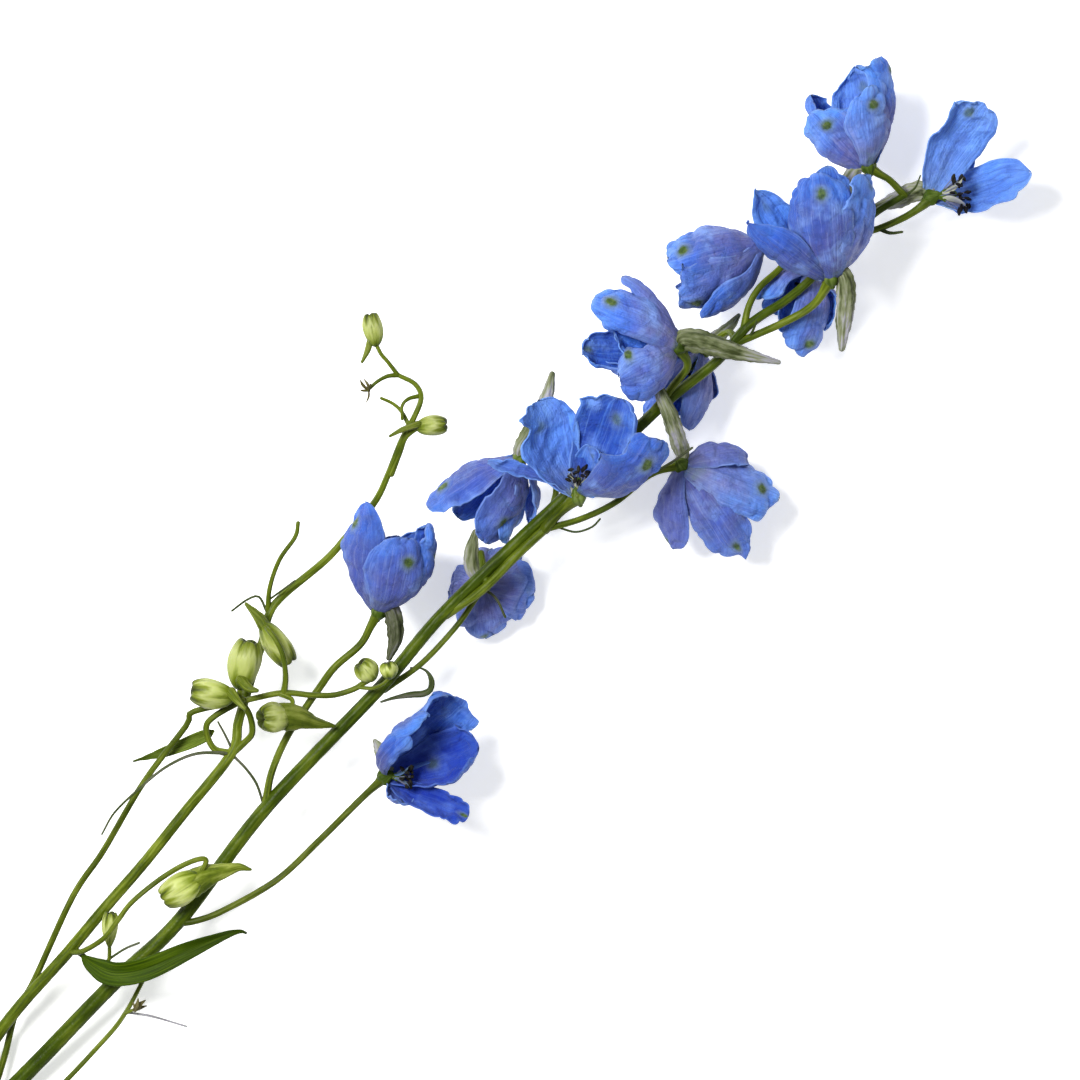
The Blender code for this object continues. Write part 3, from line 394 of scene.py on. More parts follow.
# Leaf blade: matt upper skin with a paler rib and fine parallel veins, darker toward the tip.
def bladeSkin(name, colours):
    material, tree = newMaterial(name)
    u, v, _ = node(tree, "SeparateXYZ", {0: node(tree, "UVMap", uv_map="UVMap")}).outputs
    drawnOut = node(tree, "CombineXYZ", {
        "X": node(tree, "Math", {0: u, 1: 14.0}, operation="MULTIPLY"),
        "Y": node(tree, "Math", {0: v, 1: 3.0}, operation="MULTIPLY")})
    veins = node(tree, "TexNoise", {"Vector": drawnOut, "Scale": 1.0, "Detail": 3.0})
    colour = node(tree, "ValToRGB", {"Fac": veins}, ramp=colours)
    rib = node(tree, "MapRange", {"Value": farFrom(tree, u, 0.5), "From Min": 0.05, "From Max": 0.01})
    rib = node(tree, "Math", {0: rib, 1: 0.25}, operation="MULTIPLY")
    towardTip = node(tree, "MapRange", {"Value": v, "From Min": 0.35, "From Max": 1.0, "To Max": 0.55})
    for share, code in ((rib, "#4c5f14"), (towardTip, "#182400")):
        colour = node(tree, "MixRGB", {"Fac": share, "Color1": colour, "Color2": linear(code)})
    bump = node(tree, "Bump", {"Height": veins, "Strength": 0.5, "Distance": 0.0004})
    shader = node(tree, "BsdfPrincipled", {
        "Base Color": colour, "Roughness": 0.5, "Normal": bump, "IOR": 1.43, "Specular IOR Level": 0.06,
        "Subsurface Weight": 0.08, "Subsurface Scale": 0.0008, "Subsurface Radius": (0.5, 1.0, 0.2)})
    return finishMaterial(material, shader, colours[1][1])


budYellowGreen = budSkinMaterial()
leafSkin = bladeSkin("leafDarkGreen", [(0.3, "#1c2e00"), (0.5, "#2f4301"), (0.7, "#485c08")])
bractBladeSkin = bladeSkin("bractBladeLightGreen", [(0.3, "#3f5010"), (0.5, "#53641c"), (0.7, "#6c7a34")])


# Matt paper over a dim light table: near white, with a barely visible tooth and soft shadows.
def floorPaint():
    material, tree = newMaterial("litPaper")
    objectPlace = node(tree, "TexCoord").outputs["Object"]
    tooth = node(tree, "TexNoise", {"Vector": objectPlace, "Scale": 700.0, "Detail": 2.0})
    colour = node(tree, "ValToRGB", {"Fac": tooth}, ramp=[(0.3, "#f6f6f6"), (0.7, "#fbfbfb")])
    shader = node(tree, "BsdfPrincipled", {
        "Base Color": colour, "Roughness": 0.95, "Specular IOR Level": 0.1,
        "Emission Color": linear("#ffffff"), "Emission Strength": 0.45})
    return finishMaterial(material, shader, "#f8f8f8")


floorReach = 6.0  # from its middle to each edge, past every edge of the picture
bm = bmesh.new()
bmesh.ops.create_grid(bm, x_segments=2, y_segments=2, size=floorReach)
floorMesh = bpy.data.meshes.new("floor")
bm.to_mesh(floorMesh)
bm.free()
floor = bpy.data.objects.new("floor", floorMesh)
bpy.context.scene.collection.objects.link(floor)
floorMesh.materials.append(floorPaint())
print("materials ready")


def startPiece():
    # uv runs across and along a piece, grain follows its fibres, petal holds what its skin needs
    # (seed, depth and lilac of a sepal, ribs and shade of a bud, shade of a stalk)
    bm = bmesh.new()
    layers = {
        "uv": bm.loops.layers.uv.new("UVMap"),
        "grain": bm.verts.layers.float_vector.new("grain"),
        "petal": bm.verts.layers.float_vector.new("petal"),
        "gland": bm.verts.layers.float_vector.new("gland"),
    }
    return bm, layers


def endPiece(name, bm, materials, nodeName):
    mesh = bpy.data.meshes.new(name)
    bm.to_mesh(mesh)
    bm.free()
    for material in materials:
        mesh.materials.append(material)
    piece = bpy.data.objects.new(name, mesh)
    bpy.context.scene.collection.objects.link(piece)
    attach(piece, "root")
    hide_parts(nodeName)
    return piece


def facesOf(verts):
    return {face for vert in verts for face in vert.link_faces}


def thicken(piece, thickness, backMaterial=0):
    shell = piece.modifiers.new("thickness", "SOLIDIFY")
    shell.thickness = thickness
    shell.offset = 0
    shell.material_offset = backMaterial
    shell.use_rim = True


def bendGrid(bm, columns, rows, bend, materialIndex=0):
    # a flat grid from the bmesh tools, moved point by point onto the surface that bend gives
    verts = bmesh.ops.create_grid(bm, x_segments=columns, y_segments=rows, size=1, calc_uvs=True)["verts"]
    flat = np.array([vert.co[:2] for vert in verts])
    for vert, point in zip(verts, bend(flat[:, 0], (flat[:, 1] + 1) / 2)):
        vert.co = point
    for face in facesOf(verts):
        face.material_index = materialIndex
        face.smooth = True
    return verts, flat


def smoothPath(points, spacing):
    # a curve through rows of x, y, z and radius, with a row about every spacing
    points = np.asarray(points, float)
    padded = np.vstack([2 * points[0] - points[1], points, 2 * points[-1] - points[-2]])
    rows = []
    for i in range(1, len(padded) - 2):
        before, here, after, far = padded[i - 1:i + 3]
        steps = max(2, math.ceil(np.linalg.norm((after - here)[:3]) / spacing))
        for t in np.arange(steps) / steps:
            rows.append(0.5 * (
                2 * here + (after - before) * t + (2 * before - 5 * here + 4 * after - far) * t * t
                + (3 * here - before - 3 * after + far) * t ** 3))
    rows.append(points[-1])
    rows = np.array(rows)
    rows[:, 3] = np.clip(rows[:, 3], points[:, 3].min() * 0.8, points[:, 3].max() * 1.1)
    return rows


def framesAlong(path):
    # three directions at right angles for each row, carried along the path without twisting
    forward = unit(np.gradient(path, axis=0))
    side = np.empty_like(forward)
    side[0] = unit(np.cross(forward[0], [0.31, 0.22, 1.0]))
    for i in range(1, len(path)):
        side[i] = unit(side[i - 1] - forward[i] * np.dot(side[i - 1], forward[i]))
    return forward, side, np.cross(forward, side)


tubeShape = {
    "endRings": [28, 55, 78, 90],  # degrees of the rings that round off an end
    "cutRings": [0.0, 0.55, 0.9],  # shares of the radius for the rings of a flat cut end
    "puckerReach": 2.0 * mm, "puckerSize": 1.3 * mm, "grainAround": 2.2, "grainAlong": 7,
}


def addTube(bm, layers, rows, sides, spacing=1.0 * mm, ridges=(0, 0.0, 0.0), pucker=0.0,
            cutFoot=False, materialIndex=0, footIndex=0, seed=0.0, thin=1.0, shade=0.0):
    # rows are x, y, z, radius; ridges are how many, how deep and how many turns they make;
    # thin flattens the tube and shade darkens it
    shape = tubeShape
    fine = smoothPath(rows, spacing)
    path, radii = fine[:, :3], fine[:, 3].copy()
    forward, side, over = framesAlong(path)
    run = np.concatenate([[0], np.cumsum(np.linalg.norm(np.diff(path, axis=0), axis=1))])
    arcs = np.radians(shape["endRings"])
    last = path[-1] + forward[-1] * (radii[-1] * np.sin(arcs))[:, None]
    lastRadii = radii[-1] * np.cos(arcs)
    if cutFoot:
        first = np.repeat(path[:1], len(shape["cutRings"]), axis=0)
        firstRadii = radii[0] * np.array(shape["cutRings"])
    else:
        first = path[0] - forward[0] * (radii[0] * np.sin(arcs[::-1]))[:, None]
        firstRadii = radii[0] * np.cos(arcs[::-1])
    lead, tail = len(firstRadii), len(lastRadii)
    path = np.vstack([first, path, last])
    radii = np.concatenate([firstRadii, radii, lastRadii])
    radii[0] = radii[-1] = 0
    repeat = [0] * lead + list(range(len(forward))) + [len(forward) - 1] * tail
    side, over, run = side[repeat], over[repeat], run[repeat]
    count = len(path) - 1

    def bend(across, along):
        row = np.rint(along * count).astype(int)
        angle = np.pi * across
        wave = ridges[1] * np.cos(ridges[0] * angle + 2 * np.pi * ridges[2] * along)
        around = np.column_stack([np.cos(angle), np.sin(angle), np.zeros(len(angle))])
        middle = path[row]
        if pucker:
            wave = wave + pucker * noiseAt(middle + around * shape["puckerReach"], shape["puckerSize"], seed)
        radius = radii[row] * (1 + wave)
        return (middle + side[row] * (radius * around[:, 0])[:, None]
                + over[row] * (radius * thin * around[:, 1])[:, None])

    verts, flat = bendGrid(bm, sides, count, bend, materialIndex)
    for vert, (x, y) in zip(verts, flat):
        row = round((y + 1) / 2 * count)
        angle = math.pi * x
        vert[layers["grain"]] = (shape["grainAround"] * math.cos(angle) + seed,
                                 shape["grainAround"] * math.sin(angle), run[row] / mm / shape["grainAlong"])
        vert[layers["petal"]] = (0, shade, 0)
    if cutFoot:
        for vert, (x, y) in zip(verts, flat):
            if round((y + 1) / 2 * count) < 2:
                for face in vert.link_faces:
                    face.material_index = footIndex
    bmesh.ops.remove_doubles(bm, verts=verts, dist=1e-6)


def outward(bm):
    bmesh.ops.recalc_face_normals(bm, faces=bm.faces)


# A bloom: where its receptacle sits, the way it faces (right, up the sheet, toward the viewer), how
# deep its blue is, its sepals and its spur. A sepal: tip on the sheet, tip height over the
# receptacle, width, bulge, cup, fold of the tip in degrees, the way its back looks or None, and
# what sets it apart from a plain one. Those last ones are:
# gland - where its green spot is across and along, and how strong it is
# blunt - how round the tip is, from pointed at 1 to square near 0
# roll - degrees that the two margins bend in, sway - mm that the middle moves sideways
# twist - degrees that the tip turns, crumple - how crumpled it is against a plain sepal
# notches - cuts in the tip, each where it is across, how deep and how wide
# bites, corners - hollows and bulges of a side (-1 or 1), where along, how deep and how long
# depth - how deep its blue is, lilac - how much it keeps of its bud colour, paler below 0
noGland = (0.5, 0.8, 0.0)
blooms = {
    "01": {
        "base": (868, 166, 24.5), "faces": (-0.25, 0.95, 0.1), "depth": 0.10,
        "sepals": [
            (886, 57, 1, 15, 0.12, 1.0, 25, (0.88, 0.0, 0.45),
             {"gland": (0.36, 0.86, 1.0), "blunt": 0.30, "corners": [(1, 0.92, 0.9, 0.05)],
              "depth": 0.0}),
            (872, 88, 9, 21, 0.13, 1.1, 20, None,
             {"gland": (0.58, 0.78, 1.3), "blunt": 0.34, "lilac": -0.15}),
            (811, 119, 7, 22, 0.09, 1.0, 40, (-0.4, -0.2, 0.85),
             {"gland": (0.40, 0.76, 1.1), "roll": (0, 60)}),
            (807, 101, -4, 16, 0.08, 0.9, 50, None,
             {"depth": 0.6, "roll": (50, 20), "blunt": 0.5, "corners": [(1, 0.95, 0.8, 0.05)]}),
            (860, 69, -6, 20, 0.10, 0.9, 50, None, {"depth": 0.15, "lilac": -0.35, "roll": (40, 30)}),
        ],
        "spur": [(858, 166, 23, 1.9), (850, 178, 21, 2.1), (846, 196, 18.5, 1.6), (850, 212, 17.5, 0.6)],
    },
    "02": {
        "base": (932, 197, 23), "faces": (0.85, 0.32, 0.42), "depth": 0.03,
        "sepals": [
            (986, 104, 5, 17, 0.10, 0.5, 10, (-0.30, 0.12, -0.95),
             {"gland": (0.36, 0.84, 1.6), "roll": (40, -20), "notches": [(0.35, 0.08, 0.25)],
              "blunt": 0.36, "sway": -1.0, "depth": 0.0, "lilac": -0.45,
              "corners": [(-1, 0.88, 0.35, 0.06)]}),
            (1031, 173, 1, 17, 0.12, 0.6, 10, (0.1, -0.5, -0.85),
             {"gland": noGland, "blunt": 0.72, "lilac": -0.22, "depth": 0.0}),
            (974, 148, -9, 10, 0.12, 0.8, 10), (990, 195, -10, 10, 0.12, 0.8, 10),
            (968, 166, -19, 11, 0.14, 0.7, 10),
        ],
        "spur": [(929, 191, 20.5, 2.4), (916, 191, 18, 2.8), (897, 199, 16.5, 2.3),
                 (875, 206, 15.5, 0.7)],
    },
    "03": {
        "base": (830, 279, 35), "faces": (-0.12, 0.93, 0.20), "depth": 0.85,
        "sepals": [
            (813, 178, 10, 22, 0.15, 0.9, 25, None,
             {"gland": (0.42, 0.81, 1.0), "blunt": 0.42, "depth": 0.9}),
            (868, 178, 4, 21, 0.14, 0.9, 25, (0.85, 0.0, 0.5),
             {"gland": (0.5, 0.9, 0.4), "roll": (30, -40), "depth": 0.15, "blunt": 0.28, "lilac": -0.1}),
            (828, 168, -4, 16, 0.10, 0.8, 20, None, {"depth": 0.2}),
            (754, 189, 3, 12.5, 0.12, 0.7, 5, (-0.4, 0.1, -0.8),
             {"gland": (0.5, 0.8, 0.5), "roll": (-40, 30), "blunt": 0.95, "depth": 0.0, "sway": -0.8,
              "lilac": -0.1}),
            (741, 226, 8, 13, 0.14, 0.9, 0, (-0.4, -0.35, 0.8),
             {"gland": noGland, "sway": -1.6, "blunt": 1.15, "depth": 1.1}),
        ],
        "spur": [(841, 274, 34.5, 2.2), (845, 292, 34, 2.6), (843, 320, 33, 2.2), (841, 349, 32, 0.9)],
    },
    "04": {
        "base": (763, 246, 24), "faces": (-0.93, -0.30, 0.05), "depth": 0.55,
        "sepals": [
            (674, 238, -1, 15, 0.08, 1.0, 30, None, {"roll": (40, 20), "depth": 0.3}),
            (667, 260, 10, 21, 0.15, 1.1, 25, None,
             {"gland": (0.46, 0.82, 1.2), "blunt": 0.26, "roll": (0, 60), "depth": 0.4}),
            (680, 308, 6, 24, 0.13, 1.1, 15, None,
             {"gland": (0.5, 0.84, 1.2), "blunt": 0.24, "corners": [(-1, 0.90, 0.5, 0.06)],
              "lilac": 0.25}),
            (679, 293, 0, 17, 0.13, 0.9, 30, None, {"depth": 1.0}),
            (703, 320, 4, 18, 0.15, 1.0, 20, None,
             {"depth": 0.75, "gland": noGland, "roll": (20, 20), "crumple": 0.7}),
            (694, 272, -23, 15, 0.10, 0.7, -25),
        ],
        "spur": [(766, 238, 21, 2.1), (778, 231, 19, 2.3), (800, 226, 17, 1.8), (820, 226, 15, 0.6)],
    },
    "05": {
        "base": (677, 348, 38), "faces": (-0.88, 0.36, 0.12), "depth": 0.15,
        "sepals": [
            (627, 275, 2, 9, 0.11, 1.3, 40, (0.5, 0.6, 0.55),
             {"gland": noGland, "blunt": 0.25, "roll": (40, 40), "lilac": 0.5, "sway": 0.8,
              "crumple": 0.4}),
            (595, 300, 7, 18, 0.17, 0.9, 45, (-0.1, 0.45, 0.9),
             {"gland": (0.5, 0.80, 1.2), "blunt": 0.30, "roll": (30, 70), "depth": 0.05}),
            (580, 356, 0, 17, 0.14, 0.9, 30, (0.0, -0.4, -0.9),
             {"gland": (0.62, 0.92, 1.5), "roll": (60, 30), "bites": [(-1, 0.72, 0.45, 0.10)],
              "blunt": 0.28, "depth": 0.7}),
            (621, 388, 6, 23, 0.19, 1.0, 30, (0.1, -0.5, 0.8),
             {"gland": (0.12, 0.74, 1.3), "lilac": 0.2, "roll": (60, 0), "blunt": 0.32}),
            (613, 333, 2, 13, 0.12, 0.7, 15, (-0.1, -0.4, -0.9),
             {"depth": 0.1, "blunt": 0.15, "gland": noGland, "corners": [(1, 0.93, 0.4, 0.05)]}),
            (600, 350, -8, 15, 0.14, 0.9, 30, None, {"depth": 1.1}),
        ],
        "spur": [(682, 340, 38.5, 2.8), (699, 343, 38, 3.1), (735, 353, 36.5, 2.2), (778, 363, 34, 0.6)],
    },
    "06": {
        "base": (812, 266, 19), "faces": (-0.25, -0.88, -0.1), "depth": 0.12,
        "sepals": [
            (803, 357, 2, 18, 0.16, 1.0, 15, None,
             {"gland": (0.5, 0.83, 1.0), "blunt": 0.28, "lilac": 0.2}),
            (756, 296, 3, 15, 0.16, 0.9, 20, None, {"roll": (-30, 30)}),
            (788, 334, -4, 15, 0.16, 0.9, 15), (824, 330, -8, 16, 0.18, 0.9, 15),
            (776, 312, -13, 15, 0.16, 0.8, 15),
        ],
        "spur": [(806, 260, 16, 2.0), (804, 246, 13.5, 2.1), (808, 228, 10, 1.6), (814, 212, 8, 0.6)],
    },
    "07": {
        "base": (681, 465, 24), "faces": (0.42, -0.52, -0.74), "depth": 0.5,
        "sepals": [
            (675, 551, -8, 12.5, 0.12, 0.8, 5, None,
             {"gland": (0.14, 0.93, 1.2), "lilac": 0.65, "blunt": 0.36, "sway": -1.0, "crumple": 0.8,
              "depth": 1.2}),
            (746, 561, -8, 17, 0.12, 0.8, 0, None,
             {"gland": (0.50, 0.84, 1.0), "lilac": 0.25, "blunt": 1.0, "sway": 0.6, "depth": 0.7}),
            (777, 497, -7, 22, 0.10, 0.8, 15, None,
             {"gland": (0.5, 0.80, 1.1), "blunt": 0.30, "depth": 0.0, "lilac": -0.15, "roll": (25, 25)}),
            (748, 451, -8, 13, 0.14, 0.9, 40, None,
             {"gland": noGland, "blunt": 0.30, "lilac": 0.55, "roll": (-60, 20)}),
            (722, 500, -25, 13, 0.10, 0.6, -25),
        ],
        "spur": [(682, 452, 23.5, 2.1), (677, 436, 27.5, 2.3), (668, 412, 32.3, 2.0),
                 (660, 394, 33.0, 1.6), (659, 381, 32.6, 0.8)],
    },
    "08": {
        "base": (578, 497, 34), "faces": (-0.25, 0.86, 0.44), "depth": 0.45,
        "sepals": [
            (545, 401, 2, 21, 0.10, 0.6, -12, (-0.5, 0.0, -0.6),
             {"gland": (0.40, 0.76, 1.0), "blunt": 0.30, "sway": -3.0, "crumple": 0.8, "depth": 0.0,
              "lilac": -0.25, "bites": [(-1, 0.78, 0.38, 0.07), (-1, 0.40, 0.15, 0.08)],
              "roll": (-20, 20), "corners": [(-1, 0.93, 0.5, 0.06)]}),
            (623, 399, 3, 24, 0.12, 0.8, 10, (0.4, 0.0, -0.8),
             {"gland": (0.50, 0.78, 1.3), "blunt": 0.34, "depth": 0.75, "crumple": 0.9, "roll": (10, 60),
              "corners": [(-1, 0.90, 0.3, 0.05)]}),
            (661, 444, 13, 23, 0.17, 0.8, 25, (0.5, -0.6, 0.65),
             {"gland": (0.50, 0.74, 1.2), "blunt": 0.28, "roll": (40, 50), "depth": 1.1,
              "corners": [(1, 0.55, 0.35, 0.06)], "bites": [(1, 0.72, 0.25, 0.10)]}),
            (488, 463, 8, 4.5, -0.07, 0.8, 0, None,
             {"twist": 70, "gland": noGland, "depth": 0.1, "lilac": 0.3, "blunt": 0.6}),
            (594, 446, 0, 12, 0.12, 0.8, 15, None, {"depth": 0.6}),
        ],
        "spur": [(571, 488, 31, 1.9), (562, 476, 29.5, 2.0), (552, 464, 28.5, 1.6), (545, 452, 28, 0.6)],
    },
    "09": {
        "base": (519, 459, 25), "faces": (-0.66, -0.70, -0.22), "depth": 0.6,
        "sepals": [
            (428, 508, 2, 16, 0.10, 0.8, 5, None,
             {"gland": (0.36, 0.76, 1.3), "roll": (10, -40), "lilac": 0.1, "depth": 0.9, "blunt": 0.55,
              "sway": -0.8}),
            (485, 545, 3, 18, 0.16, 0.9, 5, None,
             {"gland": (0.5, 0.70, 1.1), "lilac": 0.3, "roll": (-40, 10), "depth": 1.2}),
            (506, 542, -2, 16, 0.14, 0.9, 5, None, {"depth": 0.8}),
            (530, 526, -9, 11, 0.18, 0.8, 5),
            (454, 517, -8, 15, 0.16, 0.8, 5, None, {"depth": 0.0, "lilac": -0.1}),
        ],
        "spur": [(521, 448, 26, 2.1), (533, 428, 26.5, 2.3), (546, 400, 27, 1.9), (552, 374, 27, 0.8)],
    },
    "10": {
        "base": (482, 587, 16), "faces": (0.05, -0.12, -0.99), "depth": 0.45,
        "sepals": [
            (446, 592, -10, 15, 0.16, 0.8, 10, None,
             {"lilac": 0.6, "gland": (0.5, 0.8, 0.3), "blunt": 0.30}),
            (484, 637, -8, 17, 0.14, 0.8, 10, None,
             {"lilac": 0.4, "gland": (0.5, 0.93, 0.8), "blunt": 0.28}),
            (537, 591, -7, 19, 0.14, 0.8, 10, None,
             {"lilac": 0.3, "gland": (0.5, 0.8, 0.2), "blunt": 0.32}),
            (522, 554, -11, 14, 0.14, 0.8, 10, None, {"lilac": 0.5}),
            (492, 546, -12, 13, 0.16, 0.8, 10, None, {"lilac": 0.7}),
        ],
        "spur": [(478, 578, 15, 2.0), (472, 566, 17, 2.2), (472, 550, 18, 1.9), (475, 532, 18, 0.8)],
    },
    "11": {
        "base": (379, 611, 27), "faces": (0.14, 0.95, 0.12), "depth": 0.75, "spurShade": 0.6,
        "sepals": [
            (368, 501, 4, 19, 0.15, 0.9, 10, (-0.75, 0.0, 0.62),
             {"gland": (0.62, 0.80, 1.1), "depth": 1.2, "sway": 2.2, "blunt": 0.8}),
            (407, 536, 11, 23, 0.23, 1.1, 20, None,
             {"gland": (0.45, 0.72, 1.1), "blunt": 0.32, "lilac": 0.2, "roll": (20, -20), "depth": 1.15}),
            (434, 525, 1, 19, 0.20, 1.1, 45, None,
             {"gland": (0.55, 0.66, 1.0), "blunt": 0.30, "roll": (30, 60), "depth": 1.1,
              "corners": [(1, 0.9, 0.4, 0.06)]}),
            (398, 536, -6, 18, 0.18, 0.9, 20, None, {"depth": 0.8}),
            (420, 532, -9, 18, 0.20, 0.9, 20, None, {"depth": 0.9}),
        ],
        "spur": [(388, 606, 27, 2.2), (394, 618, 26.5, 2.4), (395, 638, 26, 2.0), (389, 658, 25.5, 0.8)],
    },
    "12": {
        "base": (385, 777, 22), "faces": (0.80, 0.36, 0.48), "depth": 0.95,
        "sepals": [
            (462, 697, 2, 21, 0.14, 0.8, 10, (-0.4, 0.4, -0.85),
             {"notches": [(0.25, 0.12, 0.20)], "blunt": 0.15, "gland": (0.5, 0.80, 0.3), "crumple": 1.1,
              "roll": (40, 0), "sway": 0.8, "depth": 0.85, "corners": [(-1, 0.9, 0.5, 0.05)]}),
            (479, 750, 2, 20, 0.15, 0.9, 30, (0.3, -0.4, -0.85),
             {"blunt": 0.28, "gland": (0.4, 0.45, 1.2), "roll": (20, 50), "crumple": 0.9, "depth": 1.55,
              "corners": [(-1, 0.9, 0.3, 0.05)]}),
            (466, 816, 4, 9, 0.06, 0.7, 15, (-0.3, -0.2, -0.9),
             {"blunt": 0.22, "gland": (0.5, 0.96, 2.2), "depth": 1.5, "crumple": 1.3}),
            (424, 712, 12, 13, 0.18, 1.0, 40, None,
             {"blunt": 0.30, "gland": (0.80, 0.76, 1.6), "roll": (30, 20), "depth": 0.2}),
            (407, 731, 13, 9, 0.25, 1.0, 50, (-0.6, 0.0, 0.8),
             {"blunt": 0.26, "depth": 0.75, "gland": noGland, "roll": (30, 30)}),
            (409, 804, 1, 15, 0.22, 0.8, 30, None, {"lilac": 0.35, "depth": 0.5}),
        ],
        "spur": [(386, 768, 19, 1.9), (384, 760, 16, 2.0), (379, 750, 13, 1.5), (374, 742, 11, 0.6)],
    },
    "13": {
        "base": (702, 352, 17), "faces": (-0.50, -0.85, -0.1), "depth": 0.2,
        "sepals": [
            (691, 431, 2, 18, 0.14, 0.9, 10, None, {"lilac": 0.5, "gland": noGland, "crumple": 0.5}),
            (642, 414, 0, 15, 0.14, 0.9, 10, None, {"gland": noGland}),
            (656, 384, -7, 15, 0.16, 0.9, 10), (672, 412, -10, 15, 0.16, 0.8, 10),
            (700, 404, -11, 14, 0.16, 0.8, 10, None, {"lilac": 0.5}),
        ],
        "spur": [(708, 346, 15, 2.0), (716, 338, 13, 2.0), (730, 326, 11, 1.5), (740, 314, 10, 0.6)],
    },
}
sepalShape = {
    "ring": 1.5 * mm, "foldStart": 0.78, "rollStart": 0.5, "columns": 28, "rows": 44,
    "thickness": 0.35 * mm, "claw": 0.34, "belly": 0.66, "widestAt": 0.60, "closesFrom": 0.50,
    "crumple": 1.0 * mm, "crumpleSize": 7.0 * mm, "crease": 1.2 * mm, "creaseSize": 0.8,
    "small": 0.5 * mm, "smallSize": 0.38, "ruffle": 1.0 * mm, "groove": 0.30 * mm, "grooveWide": 0.10,
    "wave": 0.10, "ragged": 0.018, "lowest": 0.3 * mm, "gland": (0.5, 0.78, 0.9), "blunt": 0.42,
}


def extraOf(sepal):
    return sepal[8] if len(sepal) > 8 else {}


def crossArc(across, along, cup, roll):
    # a shallow arc across the sepal whose margins bend further past rollStart
    start = sepalShape["rollStart"]
    inner = np.clip(across, -start, start)
    sideways, lift = np.sin(cup * inner) / cup, (1 - np.cos(cup * inner)) / cup
    straightest = 0.02  # a margin that doesn't bend at all would divide by zero
    for sign, angle in ((-1, roll[0]), (1, roll[1])):
        past = np.maximum(sign * across - start, 0)
        bend = cup + math.radians(angle) * np.sin(np.pi / 2 * np.minimum(along * 1.5, 1)) / (1 - start)
        bend = np.where(np.abs(bend) < straightest, straightest, bend)
        begin = cup * start
        sideways = sideways + sign * (np.sin(begin + bend * past) - math.sin(begin)) / bend
        lift = lift + (math.cos(begin) - np.cos(begin + bend * past)) / bend
    return sideways, lift


def sepalSurface(bloom, sepal, across, along):
    # points of the plain sepal; across runs from -1 to 1 and along from 0 at the claw to 1 at the tip
    tipX, tipY, rise, width, bulge, cup, fold = sepal[:7]
    extra = extraOf(sepal)
    shape = sepalShape
    foldStart = shape["foldStart"]
    base = place(*bloom["base"])
    faces = turn(*bloom["faces"])
    tip = place(tipX, tipY, bloom["base"][2] + rise)
    spread = (tip - base) - np.dot(tip - base, faces) * faces
    outwardWay = spread / np.linalg.norm(spread)
    root = base + outwardWay * shape["ring"]
    chord = (tip - root) * (1 + 0.0015 * abs(fold))  # a folded tip takes up some of the length
    length = np.linalg.norm(chord)
    way = chord / length
    back = turn(*sepal[7]) if len(sepal) > 7 and sepal[7] else outwardWay
    bow = back - np.dot(back, way) * way
    bow = bow / np.linalg.norm(bow)
    # the middle line bows out, most a little before half its length
    flat = np.minimum(along, foldStart)
    swell = np.sin(np.pi * flat) * (1.25 - 0.5 * flat)
    swellRate = np.pi * np.cos(np.pi * flat) * (1.25 - 0.5 * flat) - 0.5 * np.sin(np.pi * flat)
    middle = root + chord * flat[:, None] + bow * (bulge * length * swell)[:, None]
    forward = unit(chord + bow * (bulge * length * swellRate)[:, None])
    inward = -unit(bow - (forward @ bow)[:, None] * forward)
    side = np.cross(forward, inward)
    middle = middle + side * (extra.get("sway", 0) * mm * np.sin(np.pi * flat))[:, None]
    # past foldStart it follows an arc that ends at the fold's angle
    past = np.maximum(along - foldStart, 0) / (1 - foldStart)
    angle = math.radians(fold) * past
    reach = (1 - foldStart) * length
    curl = math.radians(fold) if abs(fold) > 1 else math.radians(1)
    middle = middle + forward * (reach * np.sin(curl * past) / curl)[:, None]
    middle = middle + inward * (reach * (1 - np.cos(curl * past)) / curl)[:, None]
    inward = inward * np.cos(angle)[:, None] - forward * np.sin(angle)[:, None]
    twist = math.radians(extra.get("twist", 0)) * np.clip(along, 0, 1)
    side, inward = (side * np.cos(twist)[:, None] + inward * np.sin(twist)[:, None],
                    inward * np.cos(twist)[:, None] - side * np.sin(twist)[:, None])
    # half the width at each point: narrow claw, broad belly, rounded tip
    rising = np.sin(np.pi / 2 * np.clip(along / shape["widestAt"], 0, 1)) ** 0.9
    rising = shape["claw"] + shape["belly"] * rising
    closing = np.maximum(along - shape["closesFrom"], 0) / (1 - shape["closesFrom"])
    closing = np.clip(1 - closing ** 3, 0, 1) ** extra.get("blunt", shape["blunt"])
    half = width * mm / 2 * rising * closing
    for sign, where, deep, wide in extra.get("bites", []):
        half = half * (1 - deep * np.exp(-((along - where) / wide) ** 2) * np.clip(sign * across * 2, 0, 1))
    for sign, where, out, wide in extra.get("corners", []):
        bulging = np.exp(-np.abs(along - where) / wide) * np.clip(sign * across * 1.5, 0, 1) ** 2
        half = half * (1 + out * bulging)
    sideways, lift = crossArc(across, along, cup, extra.get("roll", (0, 0)))
    wave = shape["wave"] * across ** 2 * np.sin(8 * along + 3 * tipX + 1.5 * across)
    return middle + side * (half * sideways)[:, None] + inward * (half * (lift + wave))[:, None]


